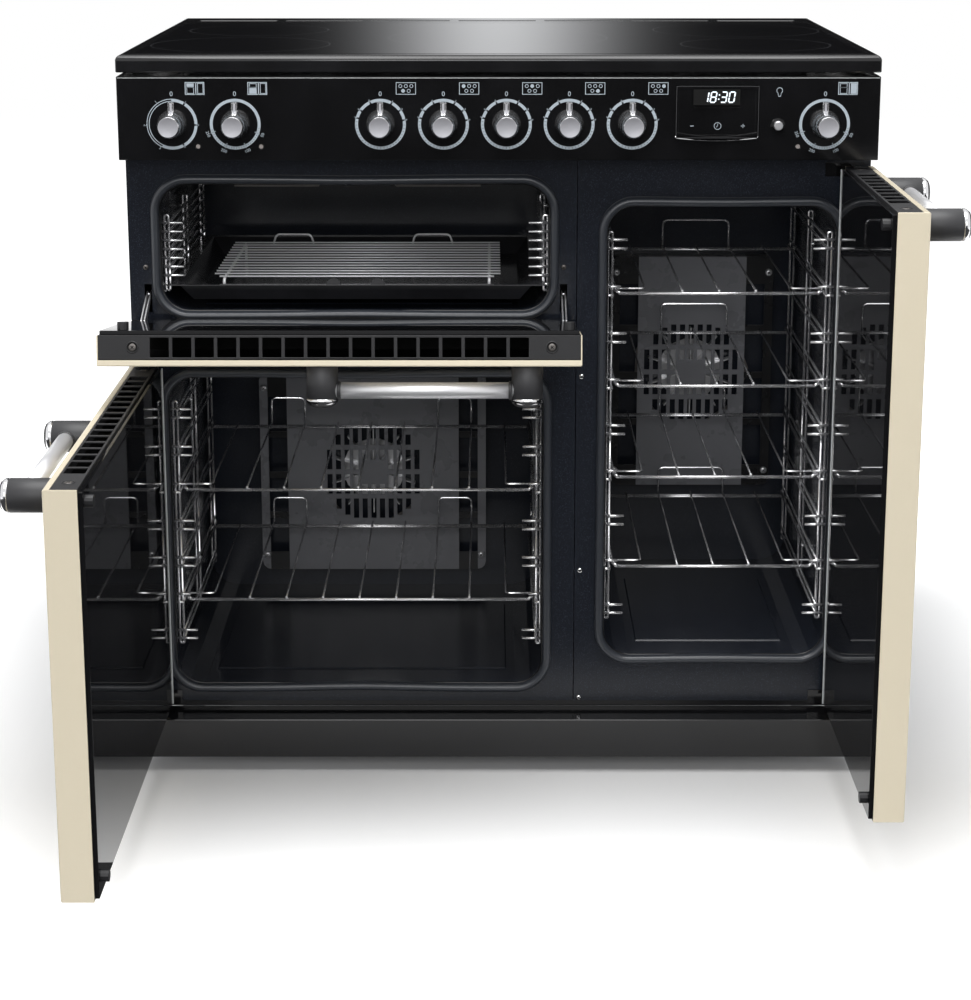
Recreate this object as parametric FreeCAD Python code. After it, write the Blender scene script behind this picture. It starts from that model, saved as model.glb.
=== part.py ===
import FreeCAD, Part
import os
from math import cos, pi, radians, sin, sqrt

# Range cooker with a grill compartment over a main oven on the left, and a tall oven on the right.
# Millimetres. X is to the right, Y to the rear, Z up. The floor is Z 0, and X 0 is mid width.
# The doors stand open: the side doors at a right angle, the grill door let down on its stays.

Vector = FreeCAD.Vector

# Overall
width = 900.0
depth = 600.0
hob_top = 905.0
frame_setback = 50.0
sheet = 1.5
liner_sheet = 1.2
seat_gap = 0.3
round_sides = 16
small_sides = 8
corner_steps = 3

# Hob
hob_band = 20.5
hob_rim = 18.0
hob_round = 7.0
hob_wall = 3.0
hob_floor = 2.0
glass_depth = 472.0
glass_thick = 5.0
glass_gap = 0.5
vent_slots = 7
vent_margin = 30.0
vent_bar = 14.0
vent_slot_width = 13.0

# Control panel and what stands on it
panel_drop = 25.0
panel_height = 99.0
knob_rise = 42.9
knob_shares = (-0.42789, -0.34511, -0.15467, -0.07211, 0.01044, 0.09267, 0.17533, 0.42744)
knob_skirt = 17.0
knob_body = 13.5
knob_reach = 34.0
knob_skirt_depth = 12.0
knob_gap = 1.0
spindle = 4.0
spindle_flat = 0.8
spindle_hole = 6.0
switch_size = 44.0
switch_depth = 30.0
switch_setback = 8.0
switch_foot = 12.0
switch_foot_height = 4.0
lamp_switch_size = 18.0
lamp_switch_depth = 14.0
timer_share = 0.28633
timer_rise = 57.5
timer_width = 98.0
timer_height = 62.0
timer_radius = 7.0
timer_bow = 5.0
lamp_button_share = 0.36644
lamp_button_rise = 41.5
lamp_button = 5.5
lamp_bezel = 7.7
lens_shares = (-0.39444, -0.31167, 0.39333)
lens_rise = 16.5
lens_radius = 2.6

# Doors
tall_bank_width = 354.0
door_gap = 4.0
door_side_gap = 1.0
door_thick = 40.0
skin_return = 35.0
skin_lip = 7.0
inner_glass_inset = 3.0
hinge_glass_inset = 6.0
door_bottom = 81.5
door_top_drop = 12.0
main_door_share = 0.64291
grill_door_gap = 6.5
side_pivot_inset = 17.0
side_pivot_back = 20.0
hinge_pin = 4.0
hinge_leaf = 2.0
hinge_leaf_gap = 0.8
low_plate_reach = 30.0
top_plate_reach = 6.0
tall_plate_reach = 37.0
grill_pivot_rise = 27.0
grill_pivot_back = 11.5
grill_pin = 3.0
grill_arm_inset = 9.0
grill_open_angle = 81.5
rail_height = 13.0
rail_wall = 2.0
window_pitch = 25.1
window_bar = 4.0
window_depth = 22.0
end_block = 55.0
post_radius = 17.75
post_spacing = 231.0
post_inset = 60.0
post_dome = 4.0
handle_drop = 23.0
side_handle_reach = 55.0
grill_handle_reach = 48.0
bar_radius = 9.25
bar_standoff = 29.0
catch_radius = 6.5
catch_reach = 9.3
catch_inset = 13.0
catch_rise = 24.5

# Compartment mouths and linings
mouth_radius = 34.0
grill_frame_width = 72.0
grill_mouth_shift = 3.0
grill_mouth_rise = 12.5
grill_mouth_drop = 23.0
main_frame_width = 82.0
main_mouth_shift = 1.0
main_mouth_rise = 23.5
main_mouth_drop = 17.5
tall_frame_width = 75.0
tall_mouth_shift = -0.5
tall_mouth_rise = 61.5
tall_mouth_drop = 49.5
bank_seam_rise = 53.0
frame_bottom = 81.0
seam_gap = 1.0
neck_depth = 14.0
wall_step = 4.0
cavity_depth = 400.0
floor_pad = 1.6
pad_inset = 45.0
seal_width = 11.0
seal_height = 9.4
seal_chamfer = 3.0

# Wire work
wire = 2.94
wire_sides = 4
rail_wire = 3.0
rail_sides = 6
rack_wire = 2.9
rack_sides = 4
rack_inset = 8.0
rack_pair = 11.0
rack_setback = 22.0
rack_length = 330.0
rack_tail = 8.0
rack_end = 4.0
main_first_rise = 59.6
main_last_drop = 51.0
main_levels = 7
main_shelf_levels = (1, 4)
tall_first_rise = 55.5
tall_last_drop = 50.6
tall_levels = 9
tall_shelf_levels = (1, 3, 5, 7)
grill_first_rise = 30.0
grill_level_pitch = 10.9
grill_levels = 8
shelf_side_inset = 11.8
shelf_depth = 322.0
shelf_tab = 16.0
shelf_bars = 9
tall_shelf_bars = 5
bar_end_inset = 34.0
shelf_stop_height = 36.0

# Grill pan and trivet
pan_overlap = 1.6
pan_depth = 360.0
pan_height = 22.0
pan_rim = 14.0
pan_sheet = 1.2
pan_taper = 16.0
trivet_inset = 60.0
trivet_bars = 14
trivet_pitch = 18.5
trivet_rise = 5.0
trivet_setback = 16.0
trivet_leg_inset = 14.0
trivet_first_inset = 8.0
trivet_loop_places = (-122.0, 64.0)
trivet_loop_width = 46.0
trivet_loop_height = 18.0
trivet_loop_corner = 6.0

# Fans
fan_radius = 74.0
fan_slot_pitch = 12.4
fan_slot_width = 7.4
fan_row_pitch = 36.0
fan_slot_height = 29.0
fan_blank = 15.0
fan_cover_stand = 24.0
main_fan_share = 0.42893
main_cover_side = 72.0
main_cover_ends = 111.0
tall_fan_share = 0.48569
tall_cover_side = 26.5
tall_cover_ends = 246.5
channel_width = 26.0
channel_windows = 4
impeller_radius = 62.0
impeller_depth = 12.0
impeller_hub = 9.0
impeller_blades = 10
impeller_sheet = 1.2
impeller_clear = 6.0
blade_thick = 1.6
shaft_reach = 20.0
shaft_radius = 4.0
running_gap = 0.08
motor_radius = 42.0
motor_depth = 48.0
ring_element_radius = 80.0
ring_element_steps = 8
element_wire = 3.2
grill_element_pitch = 100.0
grill_element_front = 60.0

# Base and rear
foot_radius = 20.0
foot_inset = 55.0
foot_pad = 9.0
foot_stem = 6.0
plinth_bottom = 21.5
plinth_top = 72.0
plinth_setback = 8.0
base_height = 9.0
base_front_clear = 6.0
base_rear_clear = 2.0
base_sheet = 2.0
boss_half = 14.0
boss_drop = 18.0
back_setback = 15.0
back_fold = 3.0
swage_width = 24.0
swage_bottom = 150.0
swage_drop = 265.0
swage_places = (-330.0, 60.0, 330.0)
louvre_length = 180.0
louvre_height = 8.0
louvre_pitch = 26.0
louvre_drop = 185.0
louvre_rows = 4
terminal_centre = 270.0
terminal_width = 80.0
terminal_bottom = 150.0
terminal_height = 110.0
terminal_chamfer = 3.0
gland_radius = 6.4
gland_bore = 4.0
gland_length = 12.0
bore_length = 40.0

# Grill door stays
stay_left_inset = 21.0
stay_right_inset = 14.0
stay_length = 60.0
stay_height = 8.0
stay_tip_height = 5.0
stay_plate = 2.0
stay_space = 2.0
stay_pin = 2.0
stay_depth = 2.0
stay_pin_height = 10.7
stay_rise = 25.0
stay_slot_rise = 30.0
stay_slot_height = 35.0
stay_slot_side = 4.5

# Places that follow from the sizes
panel_top = hob_top - panel_drop
panel_bottom = panel_top - panel_height
knob_height = panel_bottom + knob_rise
knob_places = [share * width for share in knob_shares]
timer_centre = timer_share * width
timer_middle = panel_bottom + timer_rise
lamp_button_place = lamp_button_share * width
lamp_button_height = panel_bottom + lamp_button_rise
lens_places = [share * width for share in lens_shares]
lens_height = panel_bottom + lens_rise
vent_pitch = (width - 2 * vent_margin + vent_bar) / vent_slots
vent_slot_length = vent_pitch - vent_bar
seam_place = width / 2 - tall_bank_width
left_bank_width = width - tall_bank_width
door_top = panel_bottom - door_top_drop
main_door_top = door_bottom + (door_top - door_bottom) * main_door_share
grill_door_bottom = main_door_top + grill_door_gap
grill_pivot_height = grill_door_bottom + grill_pivot_rise
bank_seam_height = main_door_top + bank_seam_rise
grill_mouth_centre = (seam_place - width / 2) / 2 + grill_mouth_shift
grill_mouth_width = left_bank_width - grill_frame_width
grill_mouth_bottom = bank_seam_height + grill_mouth_rise
grill_mouth_height = door_top - grill_mouth_drop - grill_mouth_bottom
main_mouth_centre = (seam_place - width / 2) / 2 + main_mouth_shift
main_mouth_width = left_bank_width - main_frame_width
main_mouth_bottom = door_bottom + main_mouth_rise
main_mouth_height = main_door_top - main_mouth_drop - main_mouth_bottom
tall_mouth_centre = (seam_place + width / 2) / 2 + tall_mouth_shift
tall_mouth_width = tall_bank_width - tall_frame_width
tall_mouth_bottom = door_bottom + tall_mouth_rise
tall_mouth_height = door_top - tall_mouth_drop - tall_mouth_bottom
main_first_level = main_mouth_bottom + main_first_rise
main_level_pitch = (main_mouth_height - main_first_rise - main_last_drop) / (main_levels - 1)
tall_first_level = tall_mouth_bottom + tall_first_rise
tall_level_pitch = (tall_mouth_height - tall_first_rise - tall_last_drop) / (tall_levels - 1)
grill_first_level = grill_mouth_bottom + grill_first_rise
trivet_width = grill_mouth_width - 2 * trivet_inset
main_fan_height = main_mouth_bottom + main_mouth_height * main_fan_share
main_cover_width = main_mouth_width - 2 * main_cover_side
main_cover_height = main_mouth_height - main_cover_ends
tall_fan_height = tall_mouth_bottom + tall_mouth_height * tall_fan_share
tall_cover_width = tall_mouth_width - 2 * tall_cover_side
tall_cover_height = tall_mouth_height - tall_cover_ends
main_free = seam_place - door_gap / 2
tall_free = seam_place + door_gap / 2
door_left = -width / 2 + door_side_gap
door_right = width / 2 - door_side_gap
stay_left = door_left + stay_left_inset
stay_right = main_free - stay_right_inset
grill_arm_left = door_left + grill_arm_inset
grill_arm_right = main_free - grill_arm_inset + door_side_gap
main_pivot = door_left + side_pivot_inset
tall_pivot = door_right - side_pivot_inset
main_door_reach = main_free - main_pivot - side_pivot_back
front = (main_door_reach - depth) / 2
rear = front + depth
frame_plane = front + frame_setback
side_pivot_y = front + side_pivot_back
grill_pivot_y = front + grill_pivot_back
back_plane = rear - back_setback
cavity_rear = frame_plane + cavity_depth
rack_front = frame_plane + rack_setback
hob_bottom = hob_top - hob_band
switch_front = front + sheet + switch_setback
pan_front = frame_plane - seal_height + 1.5


def box(x0, x1, y0, y1, z0, z1):
    """A block between two corners."""
    return Part.makeBox(x1 - x0, y1 - y0, z1 - z0, Vector(x0, y0, z0))


def fuse(pieces):
    """One solid from pieces that meet."""
    return pieces[0].multiFuse(pieces[1:]).removeSplitter() if len(pieces) > 1 else pieces[0]


def cut(body, tools):
    """A body with several cuts."""
    return body.cut(Part.makeCompound(tools))


def section(centre, along, radius, sides, facing=None):
    """A regular outline square to a direction, with one flat towards facing."""
    along = Vector(along).normalize()
    side = Vector(facing) if facing else Vector(1, 0, 0)
    if abs(side.dot(along)) > 0.9:
        side = Vector(0, 0, 1)
    side = (side - along * side.dot(along)).normalize()
    upward = along.cross(side)
    points = []
    for corner in range(sides):
        angle = (corner + 0.5) * 2 * pi / sides
        points.append(centre + side * (radius * cos(angle)) + upward * (radius * sin(angle)))
    return Part.makePolygon(points + points[:1])


def rod(start, end, radius, sides=wire_sides, facing=None):
    """A straight bar or wire."""
    start = Vector(*start)
    end = Vector(*end)
    return Part.Face(section(start, end - start, radius, sides, facing)).extrude(end - start)


def disc(x, z, radius, y0, y1, sides=round_sides):
    """A round bar along Y."""
    return rod((x, y0, z), (x, y1, z), radius, sides)


def spindle_rod(start, along, length, radius, flat):
    """A round pin with four flats, each at a share of the radius from the axis."""
    pin = Part.makeCylinder(radius, length, Vector(*start), Vector(*along))
    far = radius * flat
    low = [value - far for value in start]
    size = [2 * far] * 3
    axis = [abs(value) for value in along].index(1)
    low[axis] = min(start[axis], start[axis] + along[axis] * length) - 1
    size[axis] = length + 2
    return pin.common(Part.makeBox(*size, Vector(*low)))


def stacked(rings):
    """A solid through rings of points that match, with flat faces between them."""
    outlines = [rings[0], rings[-1]]
    count = len(rings[0])
    for low, high in zip(rings, rings[1:]):
        for index in range(count):
            after = (index + 1) % count
            outlines.append([low[index], low[after], high[after], high[index]])
    faces = [Part.Face(Part.makePolygon(outline + outline[:1])) for outline in outlines]
    solid = Part.makeSolid(Part.makeShell(faces))
    if solid.Volume < 0:
        solid.reverse()
    return solid


def turned(start, along, profile, sides=round_sides):
    """A turned piece: radii at heights along an axis."""
    along = Vector(*along)
    rings = []
    for height, radius in profile:
        ring = section(Vector(*start) + along * height, along, radius, sides)
        rings.append([vertex.Point for vertex in ring.Vertexes])
    return stacked(rings)


def flat_of(radius, sides=wire_sides):
    """How far a flat of a bar lies from its axis."""
    return radius * cos(pi / sides)


def bent_wire(points, radius=wire, facing=None):
    """A wire through several points with mitred bends."""
    points = [Vector(*point) for point in points]
    path = Part.makePolygon(points)
    profile = section(points[0], points[1] - points[0], radius, wire_sides, facing)
    return path.makePipeShell([profile], True, False, 1)


def arch(x0, x1, y, z, height, corner=8.0):
    """An upright stop loop with clipped corners."""
    top = z + height
    points = [(x0, y, z), (x0, y, top - corner), (x0 + corner, y, top)]
    points += [(x1 - corner, y, top), (x1, y, top - corner), (x1, y, z)]
    return bent_wire(points, facing=(0, 1, 0))


def rounded_outline(x0, x1, z0, z1, radius, y):
    """A rectangle with round corners, square to Y."""
    centres = ((x1 - radius, z1 - radius), (x0 + radius, z1 - radius))
    centres += ((x0 + radius, z0 + radius), (x1 - radius, z0 + radius))
    points = []
    for quarter, (x, z) in enumerate(centres):
        for step in range(corner_steps + 1):
            angle = (quarter + step / corner_steps) * pi / 2
            points.append(Vector(x + radius * cos(angle), y, z + radius * sin(angle)))
    return Part.makePolygon(points + points[:1])


def rounded_block(mouth, grow, y0, y1):
    """A block square to Y over a rounded outline grown all round."""
    x0, x1, z0, z1, radius = mouth
    outline = rounded_outline(x0 - grow, x1 + grow, z0 - grow, z1 + grow, radius + grow, y0)
    return Part.Face(outline).extrude(Vector(0, y1 - y0, 0))


def mouth_of(centre, across, bottom, tall):
    """The mouth of a compartment as left, right, bottom, top and corner radius."""
    return centre - across / 2, centre + across / 2, bottom, bottom + tall, mouth_radius


grill_mouth = mouth_of(grill_mouth_centre, grill_mouth_width, grill_mouth_bottom, grill_mouth_height)
main_mouth = mouth_of(main_mouth_centre, main_mouth_width, main_mouth_bottom, main_mouth_height)
tall_mouth = mouth_of(tall_mouth_centre, tall_mouth_width, tall_mouth_bottom, tall_mouth_height)


# Body

def side_panels():
    """Two folded side sheets with short returns front and rear."""
    panels = []
    for side in (-1, 1):
        outside = side * width / 2
        inside = outside - side * sheet
        fold = outside - side * 11.0
        skin = box(min(outside, inside), max(outside, inside), frame_plane + sheet + seat_gap,
                   back_plane - seat_gap, plinth_top + seat_gap, hob_bottom - 4.5)
        returns = [box(min(outside, fold), max(outside, fold), y, y + sheet,
                       plinth_top + seat_gap, hob_bottom - 4.5)
                   for y in (frame_plane + sheet + seat_gap, back_plane - sheet - seat_gap)]
        lower = [returns[0].common(box(-width, width, front, rear, 0, panel_bottom - 1))]
        panels.append(fuse([skin, returns[1]] + lower))
    return Part.makeCompound(panels)


def back_panel():
    """A flat rear sheet with folded edges, two stiffening swages and cooling louvres."""
    edge = width / 2 - hob_wall - 1
    top = hob_top - glass_thick - hob_floor - seat_gap
    outer = box(-edge, edge, back_plane, back_plane + back_fold, plinth_top, top)
    inner = box(-edge + sheet, edge - sheet, back_plane + sheet, rear, plinth_top + sheet, top - sheet)
    panel = outer.cut(inner)
    half = swage_width / 2
    swages = [box(x - half, x + half, back_plane, back_plane + back_fold, swage_bottom, hob_top - swage_drop)
              for x in swage_places]
    panel = fuse([panel] + swages)
    louvres = []
    half = louvre_length / 2
    for bank in (-width / 4, width / 4):
        for row in range(louvre_rows):
            level = hob_top - louvre_drop + row * louvre_pitch
            louvres.append(box(bank - half, bank + half, back_plane - 1, back_plane + back_fold,
                               level, level + louvre_height))
    return cut(panel, louvres)


def base_frame():
    """The chassis tray on four corner bosses."""
    edge = width / 2 - sheet - 1
    y0 = frame_plane + base_front_clear
    y1 = back_plane - base_rear_clear
    top = plinth_top + base_height
    tray = box(-edge, edge, y0, y1, plinth_top, top)
    tray = tray.cut(box(-edge + base_sheet, edge - base_sheet, y0 + base_sheet, y1 - base_sheet,
                        plinth_top - 1, top - base_sheet))
    bosses = []
    for x in (-width / 2 + foot_inset, width / 2 - foot_inset):
        for y in (y0 + foot_inset, y1 - foot_inset):
            boss = box(x - boss_half, x + boss_half, y - boss_half, y + boss_half,
                       plinth_top - boss_drop, top - base_sheet / 2)
            hole = rod((x, y, plinth_top - 2 * boss_drop), (x, y, plinth_top + seat_gap), foot_stem + 0.1, rail_sides)
            bosses.append(boss.cut(hole))
    return fuse([tray] + bosses)


def plinth():
    """The folded kickboard with its ledge and two end returns."""
    edge = width / 2
    y0 = front + plinth_setback
    board = box(-edge, edge, y0, y0 + sheet, plinth_bottom, plinth_top)
    ledge = box(-edge, edge, y0, frame_plane + 5, plinth_top - sheet, plinth_top)
    ends = [box(x, x + sheet, y0, frame_plane + 5, plinth_bottom, plinth_top)
            for x in (-edge, edge - sheet)]
    lower = box(-edge, edge, y0, y0 + 14, plinth_bottom, plinth_bottom + sheet)
    return fuse([board, ledge, lower] + ends)


def levelling_feet():
    """Four screw feet."""
    feet = []
    y0 = frame_plane + base_front_clear + foot_inset
    y1 = back_plane - base_rear_clear - foot_inset
    for x in (-width / 2 + foot_inset, width / 2 - foot_inset):
        for y in (y0, y1):
            profile = ((0, foot_radius), (foot_pad * 0.6, foot_radius), (foot_pad, foot_radius * 0.6))
            feet.append(turned((x, y, 0), (0, 0, 1), profile, small_sides))
            feet.append(rod((x, y, foot_pad), (x, y, plinth_top), foot_stem, rail_sides))
    return Part.makeCompound(feet)


def hob_frame():
    """The pressed hob surround with a round front edge and a slotted rear vent."""
    edge = width / 2
    block = box(-edge, edge, front, rear, hob_bottom, hob_top)
    rounded = [e for e in block.Edges
               if all(abs(v.Y - front) < 0.1 and v.Z > hob_top - 0.1 for v in e.Vertexes)]
    rounded += [e for e in block.Edges
                if all(abs(abs(v.X) - edge) < 0.1 and v.Z > hob_top - 0.1 for v in e.Vertexes)]
    block = block.makeFillet(hob_round, rounded)
    under = box(-edge + hob_wall, edge - hob_wall, front + hob_wall, rear - hob_wall,
                hob_bottom - 1, hob_top - glass_thick - hob_floor)
    seat = box(-edge + hob_rim, edge - hob_rim, front + hob_rim, front + hob_rim + glass_depth,
               hob_top - glass_thick, hob_top + 1)
    lip = 14.0
    window = box(-edge + hob_rim + lip, edge - hob_rim - lip, front + hob_rim + lip,
                 front + hob_rim + glass_depth - lip, hob_top - glass_thick - 3, hob_top)
    slots = []
    middle = (front + hob_rim + glass_depth + rear) / 2
    for index in range(vent_slots):
        x = (index - (vent_slots - 1) / 2) * vent_pitch
        slots.append(box(x - vent_slot_length / 2, x + vent_slot_length / 2,
                         middle - vent_slot_width / 2, middle + vent_slot_width / 2,
                         hob_bottom, hob_top + 1))
    return cut(block, [under, seat, window] + slots)


def hob_glass():
    """The ceramic glass set flush in the surround."""
    edge = width / 2 - hob_rim - glass_gap
    y0 = front + hob_rim + glass_gap
    y1 = front + hob_rim + glass_depth - glass_gap
    return box(-edge, edge, y0, y1, hob_top - glass_thick, hob_top + 0.2)


def timer_outline(grow):
    """The timer's opening as a rounded outline."""
    return (timer_centre - timer_width / 2 - grow, timer_centre + timer_width / 2 + grow,
            timer_middle - timer_height / 2 - grow, timer_middle + timer_height / 2 + grow, timer_radius)


def control_panel():
    """The folded fascia with its holes."""
    edge = width / 2 - 0.5
    outer = box(-edge, edge, front, frame_plane + sheet, panel_bottom, panel_top)
    inner = box(-edge + sheet, edge - sheet, front + sheet, frame_plane + 5,
                panel_bottom + sheet, panel_top - sheet)
    shell = outer.cut(inner)
    holes = [disc(x, knob_height, spindle_hole, front - 1, front + 5, small_sides) for x in knob_places]
    holes += [disc(x, lens_height, lens_radius + 0.2, front - 1, front + 5, small_sides) for x in lens_places]
    hole = disc(lamp_button_place, lamp_button_height, lamp_button + 0.4, front - 4, front + 5, small_sides * 2)
    holes.append(hole)
    holes.append(rounded_block(timer_outline(0.0), -1.0, front - 1, front + 5))
    shell = cut(shell, holes)
    bezel = disc(lamp_button_place, lamp_button_height, lamp_bezel, front - 2.5, front, small_sides * 2)
    return fuse([shell, bezel.cut(hole)])


def timer_module():
    """The clock: a bezel with a recessed window, three touch pads and a bowed lip below."""
    outline = timer_outline(0.0)
    bezel = rounded_block(outline, 0.0, front - 1.2, front)
    body = rounded_block(outline, -1.3, front - 0.2, front + 32)
    recess = rounded_block(outline, -4.0, front - 2, front - 0.6)
    window = box(timer_centre - 27, timer_centre + 27, front - 3, front + 0.4,
                 timer_middle + 5, timer_middle + 26)
    module = cut(fuse([bezel, body]), [recess, window])
    half = timer_width / 2 - 1
    low = timer_middle - timer_height / 2 + 2
    upper = []
    for step in range(9):
        across = step / 4 - 1
        upper.append(Vector(timer_centre + half * across, front - 1, low + timer_bow * across ** 2))
    lower = [point - Vector(0, 0, 2.4) for point in reversed(upper)]
    lip = Part.Face(Part.makePolygon(upper + lower + upper[:1]))
    return fuse([module, lip.extrude(Vector(0, -4, 0))])


def indicator_lenses():
    """Neon lenses beside the oven dials."""
    lenses = []
    for x in lens_places:
        lenses.append(disc(x, lens_height, lens_radius, front - 0.8, front + 6, small_sides))
    return Part.makeCompound(lenses)


def control_switches():
    """Switch bodies on their bracket behind the fascia."""
    half = switch_size / 2
    bodies = [box(x - half, x + half, switch_front, switch_front + switch_depth,
                  knob_height - half, knob_height + half - 1) for x in knob_places]
    seat = front + sheet + seat_gap
    lamp = lamp_switch_size / 2
    lamp_switch = box(lamp_button_place - lamp, lamp_button_place + lamp, seat, seat + lamp_switch_depth,
                      lamp_button_height - lamp, lamp_button_height + lamp)
    bodies.append(lamp_switch.cut(disc(lamp_button_place, lamp_button_height, lamp_button + 0.5,
                                       front, seat + lamp_switch_depth + 1, small_sides)))
    foot = switch_foot / 2
    feet = [box(x - foot, x + foot, seat, switch_front + switch_foot_height,
                knob_height - half, knob_height - half + switch_foot_height) for x in knob_places]
    return Part.makeCompound([fuse([body, leg]) for body, leg in zip(bodies, feet)] + bodies[-1:])


def knob(x):
    """A control knob: flared skirt, round body, raised pointer and spindle."""
    profile = ((0, knob_skirt), (knob_skirt_depth * 0.3, knob_skirt), (knob_skirt_depth, knob_body + 0.6),
               (knob_reach - knob_gap - 1.5, knob_body), (knob_reach - knob_gap, knob_body - 2.0))
    body = turned((x, front - knob_gap, knob_height), (0, -1, 0), profile, small_sides + 4)
    face = front - knob_reach
    pointer = box(x - 2.4, x + 2.4, face - 1.5, face + knob_reach * 0.6,
                  knob_height + 3, knob_height + knob_body + 2.5)
    stem = spindle_rod((x, front - knob_gap, knob_height), (0, 1, 0),
                       switch_front - seat_gap - front + knob_gap, spindle, spindle_flat)
    return fuse([body, pointer, stem])


def light_button():
    """The push button of the oven lamp."""
    profile = ((0, lamp_button - 0.8), (1.0, lamp_button), (20.0, lamp_button))
    return turned((lamp_button_place, front - 7, lamp_button_height), (0, 1, 0), profile, small_sides * 2)


# Compartments

def cavity(mouth, flange, hole=None, slots=()):
    """An enamelled lining: front frame, stepped neck, walls, floor pad and an opening for the shaft."""
    x0, x1, z0, z1 = flange
    y = frame_plane
    plate = box(x0, x1, y, y + sheet, z0, z1)
    neck = rounded_block(mouth, liner_sheet, y, y + neck_depth)
    walls = rounded_block(mouth, wall_step + liner_sheet, y + neck_depth - liner_sheet, cavity_rear)
    hollow_neck = rounded_block(mouth, 0.0, y - 1, y + neck_depth)
    hollow = rounded_block(mouth, wall_step, y + neck_depth, cavity_rear - liner_sheet)
    cuts = [hollow_neck, hollow] + list(slots)
    if hole:
        cuts.append(disc(hole[0], hole[1], shaft_radius + 4, cavity_rear - 5, cavity_rear + 1, small_sides))
    lining = cut(fuse([plate, neck, walls]), cuts)
    floor = mouth[2] - wall_step
    pad = box(mouth[0] + pad_inset, mouth[1] - pad_inset, y + neck_depth + pad_inset, cavity_rear - 2 * pad_inset,
              floor - liner_sheet / 2, floor + floor_pad)
    pad = pad.makeChamfer(floor_pad, [e for e in pad.Edges if e.BoundBox.ZMin > floor + floor_pad - 0.1])
    return fuse([lining, pad])


def grill_cavity():
    """The grill compartment, with slots for the door stays."""
    flange = (-width / 2, seam_place - seam_gap / 2, bank_seam_height + seam_gap / 2, panel_bottom - seam_gap)
    slot_low = grill_pivot_height + stay_slot_rise
    slots = [box(x - stay_slot_side, x + stay_slot_side, frame_plane - 1, frame_plane + 5,
                 slot_low, slot_low + stay_slot_height) for x in (stay_left, stay_right)]
    return cavity(grill_mouth, flange, slots=slots)


def main_cavity():
    """The main oven compartment."""
    flange = (-width / 2, seam_place - seam_gap / 2, frame_bottom, bank_seam_height - seam_gap / 2)
    return cavity(main_mouth, flange, (main_mouth_centre, main_fan_height))


def tall_cavity():
    """The tall oven compartment."""
    flange = (seam_place + seam_gap / 2, width / 2, frame_bottom, panel_bottom - seam_gap)
    return cavity(tall_mouth, flange, (tall_mouth_centre, tall_fan_height))


def seal(mouth):
    """A door seal round a mouth, seated on the front frame."""
    outer = rounded_block(mouth, seal_width, frame_plane - seal_height, frame_plane)
    inner = rounded_block(mouth, 0.2, frame_plane - seal_height - 1, frame_plane + 1)
    ring = outer.cut(inner)
    crest = [e for e in ring.Edges if e.BoundBox.YMax < frame_plane - seal_height + 0.1]
    return ring.makeChamfer(seal_chamfer, crest)


def ladder(x, side, first, pitch, count, pair):
    """A side rack: runner wires, single or in pairs, welded to three uprights. side is 1 on the left wall."""
    low = first - pair / 2 - rack_tail
    high = first + pitch * (count - 1) + pair / 2 + rack_tail
    behind = x - side * 2 * flat_of(rack_wire, rack_sides)
    wires = [rod((behind, y, low), (behind, y, high), rack_wire, rack_sides, (1, 0, 0)) for y in
             (rack_front, rack_front + rack_length / 2, rack_front + rack_length)]
    offsets = (-pair / 2, pair / 2) if pair else (0.0,)
    for index in range(count):
        for offset in offsets:
            z = first + pitch * index + offset
            wires.append(rod((x, rack_front - rack_end, z), (x, rack_front + rack_length + rack_end, z),
                             rack_wire, rack_sides, (1, 0, 0)))
    return wires


def racks(mouth, first, pitch, count, pair):
    """The two side racks of a compartment with the studs that hold them to the walls."""
    wires = []
    middle = rack_front + rack_length / 2
    for side, wall in ((1, mouth[0]), (-1, mouth[1])):
        x = wall + side * rack_inset
        wires += ladder(x, side, first, pitch, count, pair)
        behind = x - side * 3 * flat_of(rack_wire, rack_sides)
        outside = wall - side * (wall_step - seat_gap)
        ends = (first + pitch / 2, first + pitch * (count - 1.5))
        wires += [rod((outside, middle, z), (behind, middle, z), rack_wire, rack_sides) for z in ends]
    return Part.makeCompound(wires)


def shelf(mouth, level, bars, bar_inset, loops):
    """A wire shelf: side runners, front and rear rails, bars and upright stops at the rear."""
    x0 = mouth[0] + shelf_side_inset
    x1 = mouth[1] - shelf_side_inset
    y0 = rack_front
    y1 = y0 + shelf_depth
    up = (0, 0, 1)
    under = flat_of(wire) + flat_of(rail_wire, rail_sides)
    rail = level - under
    wires = [rod((x, y0 + shelf_tab, level), (x, y1, level), wire, facing=up) for x in (x0, x1)]
    wires.append(rod((x0 + 5, y0, rail), (x1 - 5, y0, rail), rail_wire, rail_sides, up))
    wires.append(rod((x0 + wire, y1 - 6, rail), (x1 - wire, y1 - 6, rail), rail_wire, rail_sides, up))
    cross = level - 2 * flat_of(wire)
    for y in (y0 + shelf_tab + 4, y1 - 14):
        wires.append(rod((x0 - wire / 2, y, cross), (x1 + wire / 2, y, cross), wire, facing=up))
    pitch = (x1 - x0 - 2 * bar_inset) / (bars - 1)
    for index in range(bars):
        x = x0 + bar_inset + pitch * index
        wires.append(rod((x, y0 - 2, level), (x, y1, level), wire, facing=up))
    for first, last in loops:
        left = x0 + bar_inset + pitch * first
        right = x0 + bar_inset + pitch * last
        wires.append(arch(left, right, y1 + flat_of(wire), level - wire, shelf_stop_height))
    return Part.makeCompound(wires)


def main_shelf(index):
    """A shelf of the main oven."""
    level = main_first_level + main_level_pitch * main_shelf_levels[index]
    return shelf(main_mouth, level, shelf_bars, bar_end_inset, ((1, 2), (6, 7)))


def tall_shelf(index):
    """A shelf of the tall oven."""
    level = tall_first_level + tall_level_pitch * tall_shelf_levels[index]
    return shelf(tall_mouth, level, tall_shelf_bars, bar_end_inset + 3, ((1, 3),))


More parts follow.
